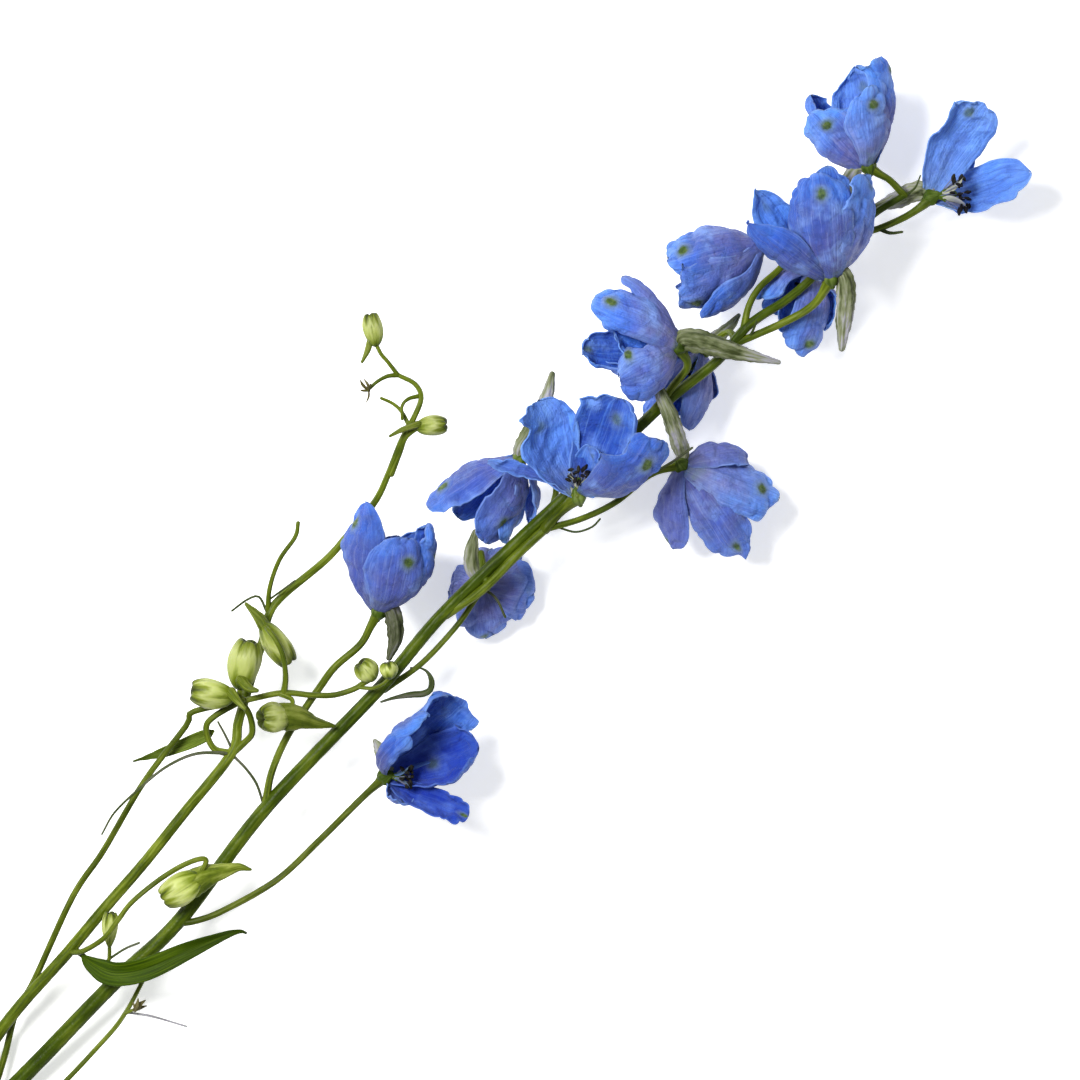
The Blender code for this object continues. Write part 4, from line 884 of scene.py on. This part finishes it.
def fineSepal(bloom, sepal, seed, across, along):
    # the plain sepal with a wavy rim, ruffles, crumples, creases and a middle groove
    extra = extraOf(sepal)
    shape = sepalShape
    rim = np.column_stack([across * 1.3 * along, along * 2.1, along * 0])
    byRim = noiseAt(rim * 1.6, 1.0, seed + 5) + 0.6 * noiseAt(rim * 4.2, 1.0, seed + 9)
    spread = across * (1 + shape["ragged"] * 1.6 * np.abs(across) ** 4 * byRim)
    reach = along * (1 + shape["ragged"] * np.clip((along - 0.55) / 0.45, 0, 1) ** 2 * byRim)
    for where, deep, wide in extra.get("notches", []):
        notch = np.exp(-((across * (1 - along ** 8) - where) / wide) ** 2)
        reach = reach * (1 - deep * notch * np.clip((along - 0.5) / 0.5, 0, 1))
    reach = np.minimum(reach, 1.0)
    points = sepalSurface(bloom, sepal, spread, reach)
    # the surface's normal, from two points close by
    step = 1e-3
    near = np.minimum(reach, 0.98)
    start = sepalSurface(bloom, sepal, spread, near)
    acrossWay = sepalSurface(bloom, sepal, spread + step, near) - start
    alongWay = sepalSurface(bloom, sepal, spread, near + step) - start
    normal = unit(np.cross(acrossWay, alongWay))
    size = shape["crumpleSize"]
    crumple = noiseAt(points, size, seed)
    crease = (1 - np.abs(noiseAt(points, size * shape["creaseSize"], seed + 40))) ** 5 - 0.3
    small = noiseAt(points, size * shape["smallSize"], seed + 3)
    ruffle = noiseAt(np.column_stack([along * 5.0, np.sign(across) * 3, along * 0]), 1.0, seed + 20)
    share = (0.25 + 0.75 * along) * extra.get("crumple", 1.0)
    height = (shape["crumple"] * crumple + shape["crease"] * crease + shape["small"] * small) * share
    height = height + shape["ruffle"] * ruffle * np.abs(across) ** 2.5 * np.minimum(along * 1.6, 1)
    groove = np.exp(-(across / shape["grooveWide"]) ** 2) * np.sin(np.pi * np.clip(along, 0, 1))
    height = height + shape["groove"] * groove
    points = points + normal * height[:, None]
    points[:, 2] = np.maximum(points[:, 2], shape["lowest"])
    return points


def crowdToTip(along):
    # rows stand closer near the tip, so that its round end stays round
    return np.where(along < 0.5, along * 1.16, 0.58 + 0.42 * np.sin(np.pi / 2 * (2 * along - 1)))


def buildSepals(key, bloom):
    bm, layers = startPiece()
    for i, sepal in enumerate(bloom["sepals"]):
        seed = float(int(key) * 7 + i * 3)
        extra = extraOf(sepal)
        verts, _ = bendGrid(
            bm, sepalShape["columns"], sepalShape["rows"],
            lambda across, along: fineSepal(bloom, sepal, seed, across, crowdToTip(along)))
        for face in facesOf(verts):
            for loop in face.loops:
                along = crowdToTip(np.array([loop[layers["uv"]].uv.y]))[0]
                loop[layers["uv"]].uv.y = min(along, 1)
        # sepals of one bloom differ a little in depth, unless their row says how deep they are
        depth = min(max(bloom["depth"] + 0.10 * math.sin(seed * 2.3), 0), 1)
        for vert in verts:
            vert[layers["petal"]] = (seed * 0.173, extra.get("depth", depth), extra.get("lilac", 0.0))
            vert[layers["gland"]] = extra.get("gland", sepalShape["gland"])
        bmesh.ops.remove_doubles(bm, verts=verts, dist=1e-6)
    piece = endPiece(f"bloom{key}Sepals", bm, [sepalInner, sepalOuter], "bloom_" + key)
    thicken(piece, sepalShape["thickness"], backMaterial=1)
    return piece


spurShape = {
    "root": 1.5 * mm, "rootShare": 0.25,
    "tube": {"sides": 40, "spacing": 0.55 * mm, "ridges": (7, 0.10, 1.1), "pucker": 0.17},
}
receptacleShape = {
    "rows": [(-2.6, 0.7), (-1.5, 1.75), (0, 2.3), (1.6, 1.3)],  # mm ahead of its middle, mm of radius
    "tube": {"sides": 30, "spacing": 0.35 * mm, "ridges": (5, 0.10, 0.0), "pucker": 0.05},
}


def buildSpur(key, bloom):
    bm, layers = startPiece()
    base = place(*bloom["base"])
    faces = turn(*bloom["faces"])
    seed = float(int(key))
    first = place(*bloom["spur"][0][:3])
    root = base + (first - base) * spurShape["rootShare"]
    addTube(bm, layers, [(*root, spurShape["root"])] + placed(bloom["spur"]), **spurShape["tube"],
            seed=seed, shade=bloom.get("spurShade", 0.0))
    # the receptacle: a small five-lobed cushion behind the sepals
    rows = [(*(base + faces * ahead * mm), radius * mm) for ahead, radius in receptacleShape["rows"]]
    addTube(bm, layers, rows, **receptacleShape["tube"], materialIndex=1, seed=seed)
    outward(bm)
    return endPiece(f"bloom{key}Spur", bm, [spurSkin, receptacleSkin], "bloom_" + key)


# An eye: heart is how far ahead its rows lie and their radius, anther its radius and length, and
# antherRows shares of those. Lengths without mm grow with the eye's size. Three eyes stand in open
# view, with a size, lean and way of their own, and three small ones in narrow blooms.
eyeShape = {
    "start": 2.3 * mm + 0.5 * mm, "heart": [(0, 0.7), (0.9, 1.15), (2.3, 0.7)], "stamens": 18,
    "reach": (2.8, 5.0), "lean": 2.4, "filament": 0.16 * mm, "anther": (0.50 * mm, 1.3),
    "antherRows": [(-0.5, 0.55), (0, 1), (0.5, 0.6)], "petalWidth": 2.3, "petalLong": 4.2,
    "petalFoot": 0.6, "petalAway": (1.1, 1.8), "petalTrough": 0.35, "petalThickness": 0.25 * mm,
    "petalGrid": (8, 14),
    "heartTube": {"sides": 12, "spacing": 0.4 * mm, "ridges": (3, 0.12, 0.1), "pucker": 0.05},
    "filamentTube": {"sides": 6, "spacing": 0.5 * mm},
    "antherTube": {"sides": 8, "spacing": 0.35 * mm, "ridges": (2, 0.18, 0)},
    "sizes": {"02": 1.60, "03": 0.55, "05": 0.6, "08": 1.25, "09": 0.55, "12": 1.15},
    "leans": {"02": 3.2, "08": 2.6, "12": 2.3},
    "ways": {"02": (0.93, 0.12, 0.36), "08": (0.05, 0.80, 0.60), "12": (0.90, 0.02, 0.44)},
    "pale": ("02", "08"),
}


def buildEye(key, bloom):
    # dark stamens in a loose tuft round a pale heart, under two inner petals
    bm, layers = startPiece()
    shape = eyeShape
    faces = turn(*shape["ways"].get(key, bloom["faces"]))
    foot = place(*bloom["base"]) + faces * shape["start"]
    size = shape["sizes"].get(key, 1.0) * mm
    across = unit(np.cross(faces, [0, 0, 1.0]))
    over = np.cross(across, faces)
    seed = float(int(key))
    rows = [(*(foot + faces * ahead * size), radius * size) for ahead, radius in shape["heart"]]
    addTube(bm, layers, rows, **shape["heartTube"], materialIndex=2, seed=seed)
    shortest, longest = shape["reach"]
    thick, long = shape["anther"]
    for i in range(shape["stamens"]):
        # the sines make every stamen a little different
        spin = 2 * math.pi * i / shape["stamens"] + 0.6 * math.sin(i * 4.1 + seed)
        lean = shape["leans"].get(key, shape["lean"]) * (0.45 + 0.55 * abs(math.sin(i * 2.7 + seed)))
        tall = shortest + (longest - shortest) * abs(math.sin(i * 1.9 + 2 * seed))
        away = across * math.cos(spin) + over * math.sin(spin)
        points = [foot + away * 0.5 * size, foot + faces * tall * 0.5 * size + away * lean * 0.65 * size,
                  foot + faces * tall * 0.88 * size + away * lean * size]
        rows = [(*point, shape["filament"]) for point in points]
        addTube(bm, layers, rows, **shape["filamentTube"], materialIndex=1, seed=seed + i)
        droop = unit(away * 0.8 + faces * 0.5 * math.sin(i * 3.3))
        rows = [(*(points[-1] + droop * long * ahead * size), thick * wide)
                for ahead, wide in shape["antherRows"]]
        addTube(bm, layers, rows, **shape["antherTube"], seed=seed + i)
    outward(bm)
    for turnedLeft in (True, False):
        away = unit(over * 0.55 + across * (-0.9 if turnedLeft else 0.9))
        turned = np.cross(faces, away)

        def bend(x, y):
            half = shape["petalWidth"] / 2 * size * (0.35 + 0.65 * np.sin(np.pi * (0.15 + 0.75 * y)))
            ahead = (shape["petalFoot"] + shape["petalLong"] * y)[:, None] * size
            aside = (shape["petalAway"][0] + shape["petalAway"][1] * y ** 2)[:, None] * size
            trough = (shape["petalTrough"] * half * x ** 2)[:, None]
            return foot + faces * ahead + away * aside + turned * (half * x)[:, None] - away * trough

        verts, _ = bendGrid(bm, *shape["petalGrid"], bend, 3 if key in shape["pale"] else 4)
        faceList = list(facesOf(verts))
        edgeList = list({edge for face in faceList for edge in face.edges})
        bmesh.ops.solidify(bm, geom=verts + faceList + edgeList, thickness=shape["petalThickness"])
    for face in bm.faces:
        face.smooth = True
    return endPiece(f"eye{key}Tuft", bm, [antherSkin, filamentSkin, receptacleSkin, creamSkin, greyPetalSkin],
                    "eye_" + key)


for key, bloom in blooms.items():
    buildSepals(key, bloom)
    buildSpur(key, bloom)
    buildEye(key, bloom)
print("blooms ready")

# A bud: foot and tip on the sheet, its radius in mm, its spur's rows, how dark it is and how much
# its foot is drawn in.
buds = {
    "01": {"shade": 0.25, "foot": (376, 347, 25), "tip": (370, 310, 26), "radius": 3.05,
           "spur": [(370, 342, 24.5, 1.0), (367, 352, 24.5, 0.8), (362, 362, 25, 0.4)]},
    "02": {"shade": 0.3, "foot": (415, 427, 21.5), "tip": (450, 424, 23), "radius": 3.15,
           "spur": [(419, 424, 23, 1.0), (404, 429, 24, 0.8), (390, 436, 24, 0.4)]},
    "03": {"shade": 0.22, "foot": (239, 690, 27), "tip": (251, 635, 29), "radius": 5.2,
           "spur": [(242, 680, 31, 1.6), (250, 688, 33, 1.2), (258, 690, 34, 0.6)]},
    "04": {"shade": 0.1, "foot": (236, 697, 30), "tip": (187, 690, 31), "radius": 4.8,
           "spur": [(232, 692, 32.5, 1.5), (239, 701, 34, 1.0), (246, 708, 35, 0.5)]},
    "05": {"shade": 0.22, "foot": (262, 622, 24), "tip": (292, 668, 22), "radius": 4.3,
           "spur": [(265, 628, 24, 1.8), (258, 617, 24, 1.5), (246, 604, 24, 0.5)]},
    "06": {"shade": 0.34, "foot": (290, 717, 26), "tip": (258, 718, 31), "radius": 5.0,
           "spur": [(274, 717, 27, 3.6), (288, 717, 27, 3.9), (302, 719, 27, 3.0), (316, 723, 26.6, 1.7),
                     (334, 726, 26, 0.5)]},
    "07": {"shade": 0.15, "foot": (375, 680, 29), "tip": (359, 660, 31), "radius": 3.7, "spur": []},
    "08": {"foot": (203, 876, 24), "tip": (158, 902, 23), "radius": 4.75,
           "spur": [(190, 885, 22.8, 3.9), (205, 877, 22.3, 3.3), (222, 872, 21.7, 2.2),
                    (238, 868, 21.5, 1.2), (250, 870, 21.5, 0.4)]},
    "09": {"shade": 0.1, "neck": 0.75, "foot": (108, 950, 18.2), "tip": (110, 909, 20.7),
           "radius": 2.7, "spur": []},
    "10": {"foot": (132, 1013, 9.6), "tip": (140, 1005, 10.5), "radius": 1.2, "spur": []},
    "11": {"foot": (369, 391, 25.4), "tip": (362, 385, 26.4), "radius": 1.0, "spur": []},
    "12": {"shade": 0.05, "foot": (391, 679, 30.4), "tip": (387, 660, 31), "radius": 3.0, "spur": []},
}
budShape = {
    "power": 2.3, "sides": 60, "rows": 54, "groove": 0.08, "lobe": 0.09, "lobeStart": 0.72, "lobeLong": 0.28,
    "mouth": 0.20, "mouthWide": 0.42, "neck": 0.34, "taper": 0.14, "reach": 0.94, "grain": 1.3,
    "spurTube": {"sides": 22, "spacing": 0.5 * mm, "ridges": (5, 0.08, 0.4), "pucker": 0.10},
}
# two buds have withered to a tuft of dry tips: where each tip points and its radius at the foot
tufts = {
    "10": [((143, 1003, 11), 0.75), ((136, 1001, 12), 0.55), ((144, 1009, 9), 0.5), ((130, 1005, 11), 0.4)],
    "11": [((360, 380, 27), 0.45), ((364, 379, 28), 0.4), ((360, 390, 26), 0.35), ((366, 403, 25), 0.3),
           ((371, 384, 28), 0.4)],
}


def buildBud(key, bud):
    bm, layers = startPiece()
    foot, tip = place(*bud["foot"]), place(*bud["tip"])
    axis = tip - foot
    long = np.linalg.norm(axis)
    forward = unit(axis)
    side = unit(np.cross(forward, [0.2, 0.1, 1.0]))
    over = np.cross(forward, side)
    shape = budShape
    seed = float(int(key))
    shade = bud.get("shade", 0.0)

    def seamsAt(angle, share):
        # the five folded sepals are not equally wide, and wind a little round the bud
        wander = 0.35 * np.sin(angle + seed) + 0.22 * np.sin(2 * angle + 2 * seed) + 0.35 * share
        return np.abs(np.cos(2.5 * angle + wander)) ** 0.4

    def crowdToEnds(along):
        # rows crowd toward both ends, so that the blunt ends stay round
        return (1 - np.cos(np.pi * along)) / 2

    def bend(across, along):
        angle = np.pi * across
        share = crowdToEnds(along)
        full = np.maximum(1 - np.abs(2 * share - 1) ** shape["power"], 0) ** (1 / shape["power"])
        neck = bud.get("neck", shape["neck"])
        wide = full * bud["radius"] * mm * (1 - neck * (1 - share) ** 2 - shape["taper"] * share ** 3)
        seams = seamsAt(angle, share)
        wide = wide * (1 - shape["groove"] * (1 - seams) * (0.35 + 0.65 * share))
        wide = wide * (1 + 0.06 * np.sin(2 * angle + seed) + 0.05 * np.sin(3 * angle + 5 * share + seed))
        # the tip parts into lobes round a sunken mouth
        nearMouth = np.clip((share - shape["lobeStart"]) / shape["lobeLong"], 0, 1)
        crown = shape["lobe"] * long * seams * nearMouth * np.clip(full * 1.5, 0, 1)
        crown = crown - shape["mouth"] * long * np.exp(-(full / shape["mouthWide"]) ** 2) * (share > 0.5)
        around = side * (wide * np.cos(angle))[:, None] + over * (wide * np.sin(angle))[:, None]
        return foot + axis * share[:, None] * shape["reach"] + around + forward * crown[:, None]

    verts, flat = bendGrid(bm, shape["sides"], shape["rows"], bend)
    seams = seamsAt(np.pi * flat[:, 0], crowdToEnds((flat[:, 1] + 1) / 2))
    for vert, (x, y), seam in zip(verts, flat, seams):
        angle = math.pi * x
        vert[layers["grain"]] = (shape["grain"] * math.cos(angle) + seed, shape["grain"] * math.sin(angle),
                                 (y + 1) * 0.6)
        vert[layers["petal"]] = (seam, shade, 0)
    bmesh.ops.remove_doubles(bm, verts=verts, dist=1e-6)
    if bud["spur"]:
        addTube(bm, layers, placed(bud["spur"]), **shape["spurTube"], materialIndex=1, seed=seed, shade=shade)
    outward(bm)
    return endPiece(f"bud{key}Body", bm, [budYellowGreen, budSpurSkin], "bud_" + key)


tuftTube = {"sides": 12, "spacing": 0.3 * mm, "ridges": (3, 0.2, 0.3), "pucker": 0.2}


def buildTuft(key, bud, tips):
    bm, layers = startPiece()
    foot = place(*bud["foot"])
    bow = np.array([0.3, -0.2, 0.5]) * mm
    for i, (tip, radius) in enumerate(tips):
        end = place(*tip)
        middle = (foot + end) / 2 + bow * (1 if i % 2 else -1)
        rows = [(*foot, radius * mm * 0.8), (*middle, radius * mm), (*end, radius * mm * 0.25)]
        addTube(bm, layers, rows, **tuftTube, seed=i * 2.3)
    outward(bm)
    return endPiece(f"bud{key}Body", bm, [witheredSkin], "bud_" + key)


witheredSkin = stalkSkin("witheredBrown", [(0.3, "#2a2612"), (0.5, "#4a4420"), (0.7, "#6a6440")], 0.7)
budSpurSkin = stalkSkin("budSpurGreen", [(0.28, "#3c4b08"), (0.5, "#5c6a18"), (0.72, "#868f40")], 0.48)
for key, bud in buds.items():
    if key in tufts:
        buildTuft(key, bud, tufts[key])
    else:
        buildBud(key, bud)
print("buds ready")

# Each stem: its points (sheet x, sheet y, height) and the radius in mm at its foot and at its end.
# A point with a fourth number has a radius of its own.
mainStems = {
    "main": ([
        (-105, 1205, 2.2), (20, 1080, 7), (112, 985, 12), (178, 922, 15), (265, 809, 19),
        (380, 688, 23), (447, 610, 25), (563, 499, 27), (643, 423, 27.5), (673, 396, 27.5),
        (717, 361, 28), (749, 325, 28), (789, 298, 27), (820, 270, 26), (869, 218, 23.5),
        (905, 195, 22.5),
    ], 2.35, 1.0),
    "second": ([
        (-82, 1181, 3.5), (-50, 1115, 6), (0, 1030, 9.5), (65, 955, 14), (102, 911, 16),
        (143, 864, 18.5), (184, 813, 20.5), (231, 754, 22.5), (238, 722, 21), (250, 680, 17),
        (262, 640, 15.5), (268, 615, 16), (282, 596, 16), (325, 560, 14), (347, 535, 13),
        (374, 502, 14), (387, 476, 17), (401, 441, 20), (413, 419, 21.5), (421, 398, 22),
        (415, 384, 22.5), (398, 375, 23),
    ], 1.8, 0.65),
    "third": ([
        (-38, 1140, 5), (-15, 1105, 5.2), (0, 1061, 5.5), (12, 1016, 7), (31, 983, 10),
        (71, 898, 16), (102, 852, 18.5), (143, 783, 22), (186, 726, 25), (193, 712, 26),
        (239, 702, 26.5), (281, 693, 27), (311, 695, 27), (334, 695, 27), (354, 689, 27.6),
        (362, 684, 27.8),
    ], 0.95, 0.8),
    "right": ([
        (-70, 1170, 3.2), (-20, 1146, 3.4), (40, 1106, 4.5), (98, 1047, 6), (122, 1017, 7),
        (143, 978, 8),
    ], 0.85, 0.6),
}
sideStems = {
    "armLeft": ([
        (231, 754, 22.5), (213, 748, 23), (206, 728, 24.5), (215, 716, 25.5), (239, 702, 26.5),
    ], 0.9, 0.9),
    "armRight": ([
        (231, 754, 22.5), (244, 743, 23), (252, 733, 24), (250, 716, 25.5), (242, 702, 26.5),
    ], 0.9, 0.9),
    "stub": ([
        (267, 612, 16), (269, 588, 18.5), (279, 560, 21), (295, 537, 23), (298, 523, 23.5),
    ], 0.7, 0.6),
    "curlOne": ([(398, 375, 23), (388, 376, 23.5), (378, 381, 24), (370, 388, 24)], 0.6, 0.45),
    "curlTwo": ([(418, 396, 22), (408, 399, 23), (402, 406, 23.5), (402, 419, 23)], 0.55, 0.4),
    "curlThree": ([(408, 424, 21), (401, 411, 20.5), (392, 403, 20.5), (381, 398, 21)], 0.55, 0.45),
    "footEleven": ([
        (265, 803, 19), (271, 773, 20), (286, 738, 21), (306, 707, 22), (320, 687, 23),
        (335, 667, 24), (360, 645, 25), (371, 626, 26),
    ], 1.0, 1.1),
    "footTwelve": ([
        (174, 925, 15), (196, 922, 15.8), (224, 911, 17), (276, 881, 18), (320, 840, 19),
        (360, 800, 20.5),
    ], 0.9, 1.0),
    "footTen": ([(384, 690, 22), (421, 664, 20.5), (455, 628, 20), (472, 604, 20.5)], 0.85, 0.8),
    "branch": ([(446, 614, 24.5), (482, 590, 26.5), (515, 557, 27.5), (548, 526, 28)], 1.3, 1.3),
    "footEight": ([(545, 529, 28), (558, 514, 29.5)], 1.3, 1.4),
    "footSeven": ([(545, 529, 28), (581, 519, 27.5), (616, 502, 27), (650, 475, 27)], 0.9, 0.9),
    "footNine": ([(553, 508, 26), (556, 488, 22), (552, 466, 20.5), (541, 452, 22.5)], 0.9, 0.7),
    "footFive": ([(650, 416, 27.5), (673, 386, 30.5), (687, 366, 34.5)], 1.1, 1.1),
    "footThirteen": ([(735, 340, 27.5), (730, 332, 23), (720, 336, 20)], 0.9, 0.9),
    "footFour": ([
        (743, 332, 27.8), (748, 308, 27.5), (759, 288, 27), (782, 266, 25.5), (782, 252, 24.5),
    ], 0.95, 0.9),
    "footThree": ([(730, 346, 27.8), (781, 324, 28.5), (813, 305, 31)], 1.0, 1.2),
    "footSix": ([(842, 246, 24.9), (838, 243, 22), (827, 248, 20)], 0.9, 0.55),
    "footOne": ([(905, 195, 22.5), (890, 180, 23), (878, 173, 24)], 0.9, 1.0),
    "footTwo": ([(852, 236, 24.3), (880, 228, 23.4), (905, 217, 23), (922, 206, 23)], 0.9, 1.1),
    "budOne": ([(398, 375, 23), (387, 361, 24), (381, 354, 24.5)], 0.55, 0.6),
    "budTwo": ([(391, 474, 17.8), (400, 452, 19.5), (406, 437, 20.8)], 0.7, 0.65),
    "budThree": ([(240, 702, 26.5), (240, 697, 26.8)], 0.8, 0.7),
    "budFour": ([(240, 702, 26.5), (243, 699, 28.5)], 0.8, 0.6),
    "budFive": ([
        (284, 693, 27), (286, 676, 29), (283, 654, 30), (275, 638, 30), (268, 629, 28.8),
    ], 0.8, 0.6),
    "budSix": ([(278, 693, 27), (288, 697, 27.5), (293, 702, 27.5)], 0.65, 0.6),
    "budEight": ([
        (68, 954, 14.5), (82, 952, 19), (104, 938, 23.2), (118, 920, 25), (133, 901, 25.5),
        (163, 877, 25.5), (190, 862, 25.5), (206, 860, 25.2),
    ], 0.75, 0.75),
    "budNine": ([(74, 952, 14.8), (94, 966, 15.5), (106, 963, 16.5), (108, 956, 17.2)], 0.7, 0.5),
    "budTen": ([(122, 1017, 7), (126, 1015, 8.4)], 0.5, 0.4),
    "stubTen": ([(486, 580, 26), (483, 566, 23.5), (481, 553, 20.5)], 1.1, 0.9),
    "budTwelve": ([(358, 687, 27.8), (372, 688, 28.8), (383, 684, 29.8)], 0.5, 0.5),
}
bractStems = {
    "bractLong": ([
        (226, 753, 23.5), (195, 754, 25.5), (166, 767, 26.5), (140, 788, 26.5), (115, 812, 26),
        (102, 834, 25.5),
    ], 0.55, 0.3),
    "bractRight": ([(233, 756, 22.5), (245, 768, 23), (256, 784, 21.5), (262, 803, 19)], 0.4, 0.4),
    "bractMid": ([(232, 750, 23), (225, 735, 24), (218, 722, 24.5)], 0.4, 0.3),
    "bractTop": ([(266, 613, 16), (258, 597, 17), (246, 600, 17.5), (231, 611, 18)], 0.4, 0.3),
    "bractTopRight": ([(268, 600, 17.3), (282, 590, 19.5), (294, 581, 20.5)], 0.35, 0.3),
    "bractCurled": ([
        (381, 702, 22, 0.35), (394, 698, 21.5, 0.55), (410, 695, 21, 0.95), (423, 694, 20.5, 1.0),
        (430, 690, 20.5, 0.95), (431.5, 681, 20.5, 0.9), (427, 672, 20.5, 0.5), (419, 668, 20.5, 0.3),
        (410, 668, 20.5, 0.25),
    ], 0.5, 0.45),
    "bractTen": ([(478, 593, 20.5), (488, 592, 21), (497, 600, 20.5), (505, 617, 19)], 0.45, 0.4),
    "bractEight": ([(560, 528, 27.6), (576, 532, 27), (592, 527, 27), (600, 519, 27)], 0.35, 0.3),
    "bractSeven": ([(650, 475, 27), (672, 462, 28.3), (692, 448, 28.8)], 0.45, 0.35),
    "needle": ([(122, 1016, 7), (132, 1017, 7.5), (150, 1020, 7.5), (184, 1030, 7.5)], 0.35, 0.3),
    "bractThree": ([(748, 339, 28), (753, 330, 30), (756, 322, 31.5)], 0.4, 0.3),
    "bractTwo": ([(878, 228, 23.5), (890, 233, 24.5), (902, 232, 25)], 0.7, 0.4),
    "bractTip": ([(905, 195, 22.5), (915, 188, 25), (920, 176, 27)], 0.45, 0.3),
    "axilOne": ([(100, 966, 16), (122, 951, 17.5), (138, 944, 18.5)], 0.4, 0.3),
}
# which bloom or bud a stem ends at
footOf = {
    "footOne": "01", "footTwo": "02", "footThree": "03", "footFour": "04", "footFive": "05",
    "footSix": "06", "footSeven": "07", "footEight": "08", "footNine": "09", "footTen": "10",
    "footEleven": "11", "footTwelve": "12", "footThirteen": "13",
}
budOf = {
    "budOne": "01", "budTwo": "02", "budThree": "03", "budFour": "04", "budFive": "05",
    "budSix": "06", "third": "07", "budEight": "08", "budNine": "09", "budTen": "10",
    "curlOne": "11", "budTwelve": "12",
}
stemShape = {
    "flare": 1.20, "flareLength": 4.0 * mm, "seatFlare": 0.5, "seatShare": 0.12, "bractThin": 0.45,
    "thick": 1.5, "fewerSides": 4, "shade": 0.1,
    "tube": {"spacing": 1.2 * mm, "ridges": (5, 0.035, 0.6), "pucker": 0.03},
}
paleStems = ("second", "third", "right", "needle")  # these wear the last skin of their piece
# how far these stems are darkened from their skin's colour; the others have stemShape's shade
stemShades = {"second": 0.0, "third": 0.22, "footTwelve": 0.35, "footEleven": 0.15, "footEight": 0.35}


def stemRows(name, points, footRadius, endRadius):
    path = [place(*row[:3]) for row in points]
    if name in footOf:
        path.append(place(*blooms[footOf[name]]["base"]))
    if name in budOf:
        bud = buds[budOf[name]]
        foot, tip = place(*bud["foot"]), place(*bud["tip"])
        path.append(foot + (tip - foot) * stemShape["seatShare"])
    radii = np.linspace(footRadius, endRadius, len(path)) * mm
    for i, row in enumerate(points):
        if len(row) > 3:
            radii[i] = row[3] * mm
    rows = np.column_stack([path, radii])
    if name in mainStems or name in bractStems:
        return rows
    # a side stem is swollen where it leaves the stem that carries it
    fine = smoothPath(rows, stemShape["tube"]["spacing"])
    run = np.concatenate([[0], np.cumsum(np.linalg.norm(np.diff(fine[:, :3], axis=0), axis=1))])
    fine[:, 3] *= 1 + (stemShape["flare"] - 1) * np.exp(-(run / stemShape["flareLength"]) ** 2)
    if name in footOf:  # and under its receptacle
        fine[:, 3] *= 1 + stemShape["seatFlare"] * np.exp(-((run[-1] - run) / stemShape["flareLength"]) ** 2)
    return fine


def buildStems(pieceName, table, skins, sides):
    bm, layers = startPiece()
    shape = stemShape
    for i, (name, (points, footRadius, endRadius)) in enumerate(table.items()):
        addTube(bm, layers, stemRows(name, points, footRadius, endRadius), **shape["tube"],
                sides=sides if footRadius > shape["thick"] else sides - shape["fewerSides"],
                cutFoot=table is mainStems, footIndex=1, seed=i * 3.1,
                materialIndex=len(skins) - 1 if name in paleStems else 0,
                thin=shape["bractThin"] if table is bractStems else 1.0,
                shade=stemShades.get(name, shape["shade"]))
    outward(bm)
    return endPiece(pieceName, bm, skins, "stem")


buildStems("mainStems", mainStems, [stemGreen, cutPith, sideGreen], 24)
buildStems("sideStems", sideStems, [sideGreen], 18)
buildStems("thinBracts", bractStems, [bractSkin, needleSkin], 12)
print("stems ready")

# A leaf: its middle line on the sheet, its width in mm and how deep its trough is.
leaves = {
    "01": {"path": [(80, 957, 17), (93, 967, 18.3), (114, 975, 19.5), (145, 970, 20.5), (186, 952, 21),
                    (222, 937, 21.2), (239, 932, 21), (246, 934, 20.2)],
           "width": 6.6, "trough": 0.28, "slot": "leaf", "skin": leafSkin},
    "02": {"path": [(214, 731, 21.5), (200, 738, 21), (168, 751, 20), (132, 762, 19)],
           "width": 3.6, "trough": 0.5, "slot": "bract", "skin": bractBladeSkin},
}
leafShape = {
    "columns": 14, "thickness": 0.4 * mm, "spacing": 1.0 * mm, "widens": 0.16, "narrows": 0.35,
    "narrowest": 0.05, "wave": 0.35 * mm,
}


def buildLeaf(key, leaf):
    bm, _ = startPiece()
    shape = leafShape
    rows = smoothPath([(*place(*row), 1.0) for row in leaf["path"]], shape["spacing"])
    path = rows[:, :3]
    count = len(path) - 1
    forward = unit(np.gradient(path, axis=0))
    side = unit(np.cross([0, 0, 1.0], forward))
    upward = np.cross(forward, side)

    def bend(across, along):
        row = np.rint(along * count).astype(int)
        narrowing = np.clip((along - shape["narrows"]) / (1 - shape["narrows"]), 0, 1) ** 1.7
        half = np.minimum(along / shape["widens"], 1) ** 0.6 * (1 - narrowing)
        half = leaf["width"] * mm / 2 * np.maximum(half, shape["narrowest"])
        lift = half * leaf["trough"] * (np.sqrt(across ** 2 + 0.01) - 0.1)
        lift = lift + shape["wave"] * np.abs(across) * np.sin(along * 17 + 2 * across)
        return path[row] + side[row] * (half * across)[:, None] + upward[row] * lift[:, None]

    bendGrid(bm, shape["columns"], count, bend)
    piece = endPiece(f"leaf{key}Blade", bm, [leaf["skin"]], "leaf_" + key)
    thicken(piece, shape["thickness"])
    return piece


for key, leaf in leaves.items():
    buildLeaf(key, leaf)
print("leaves ready")
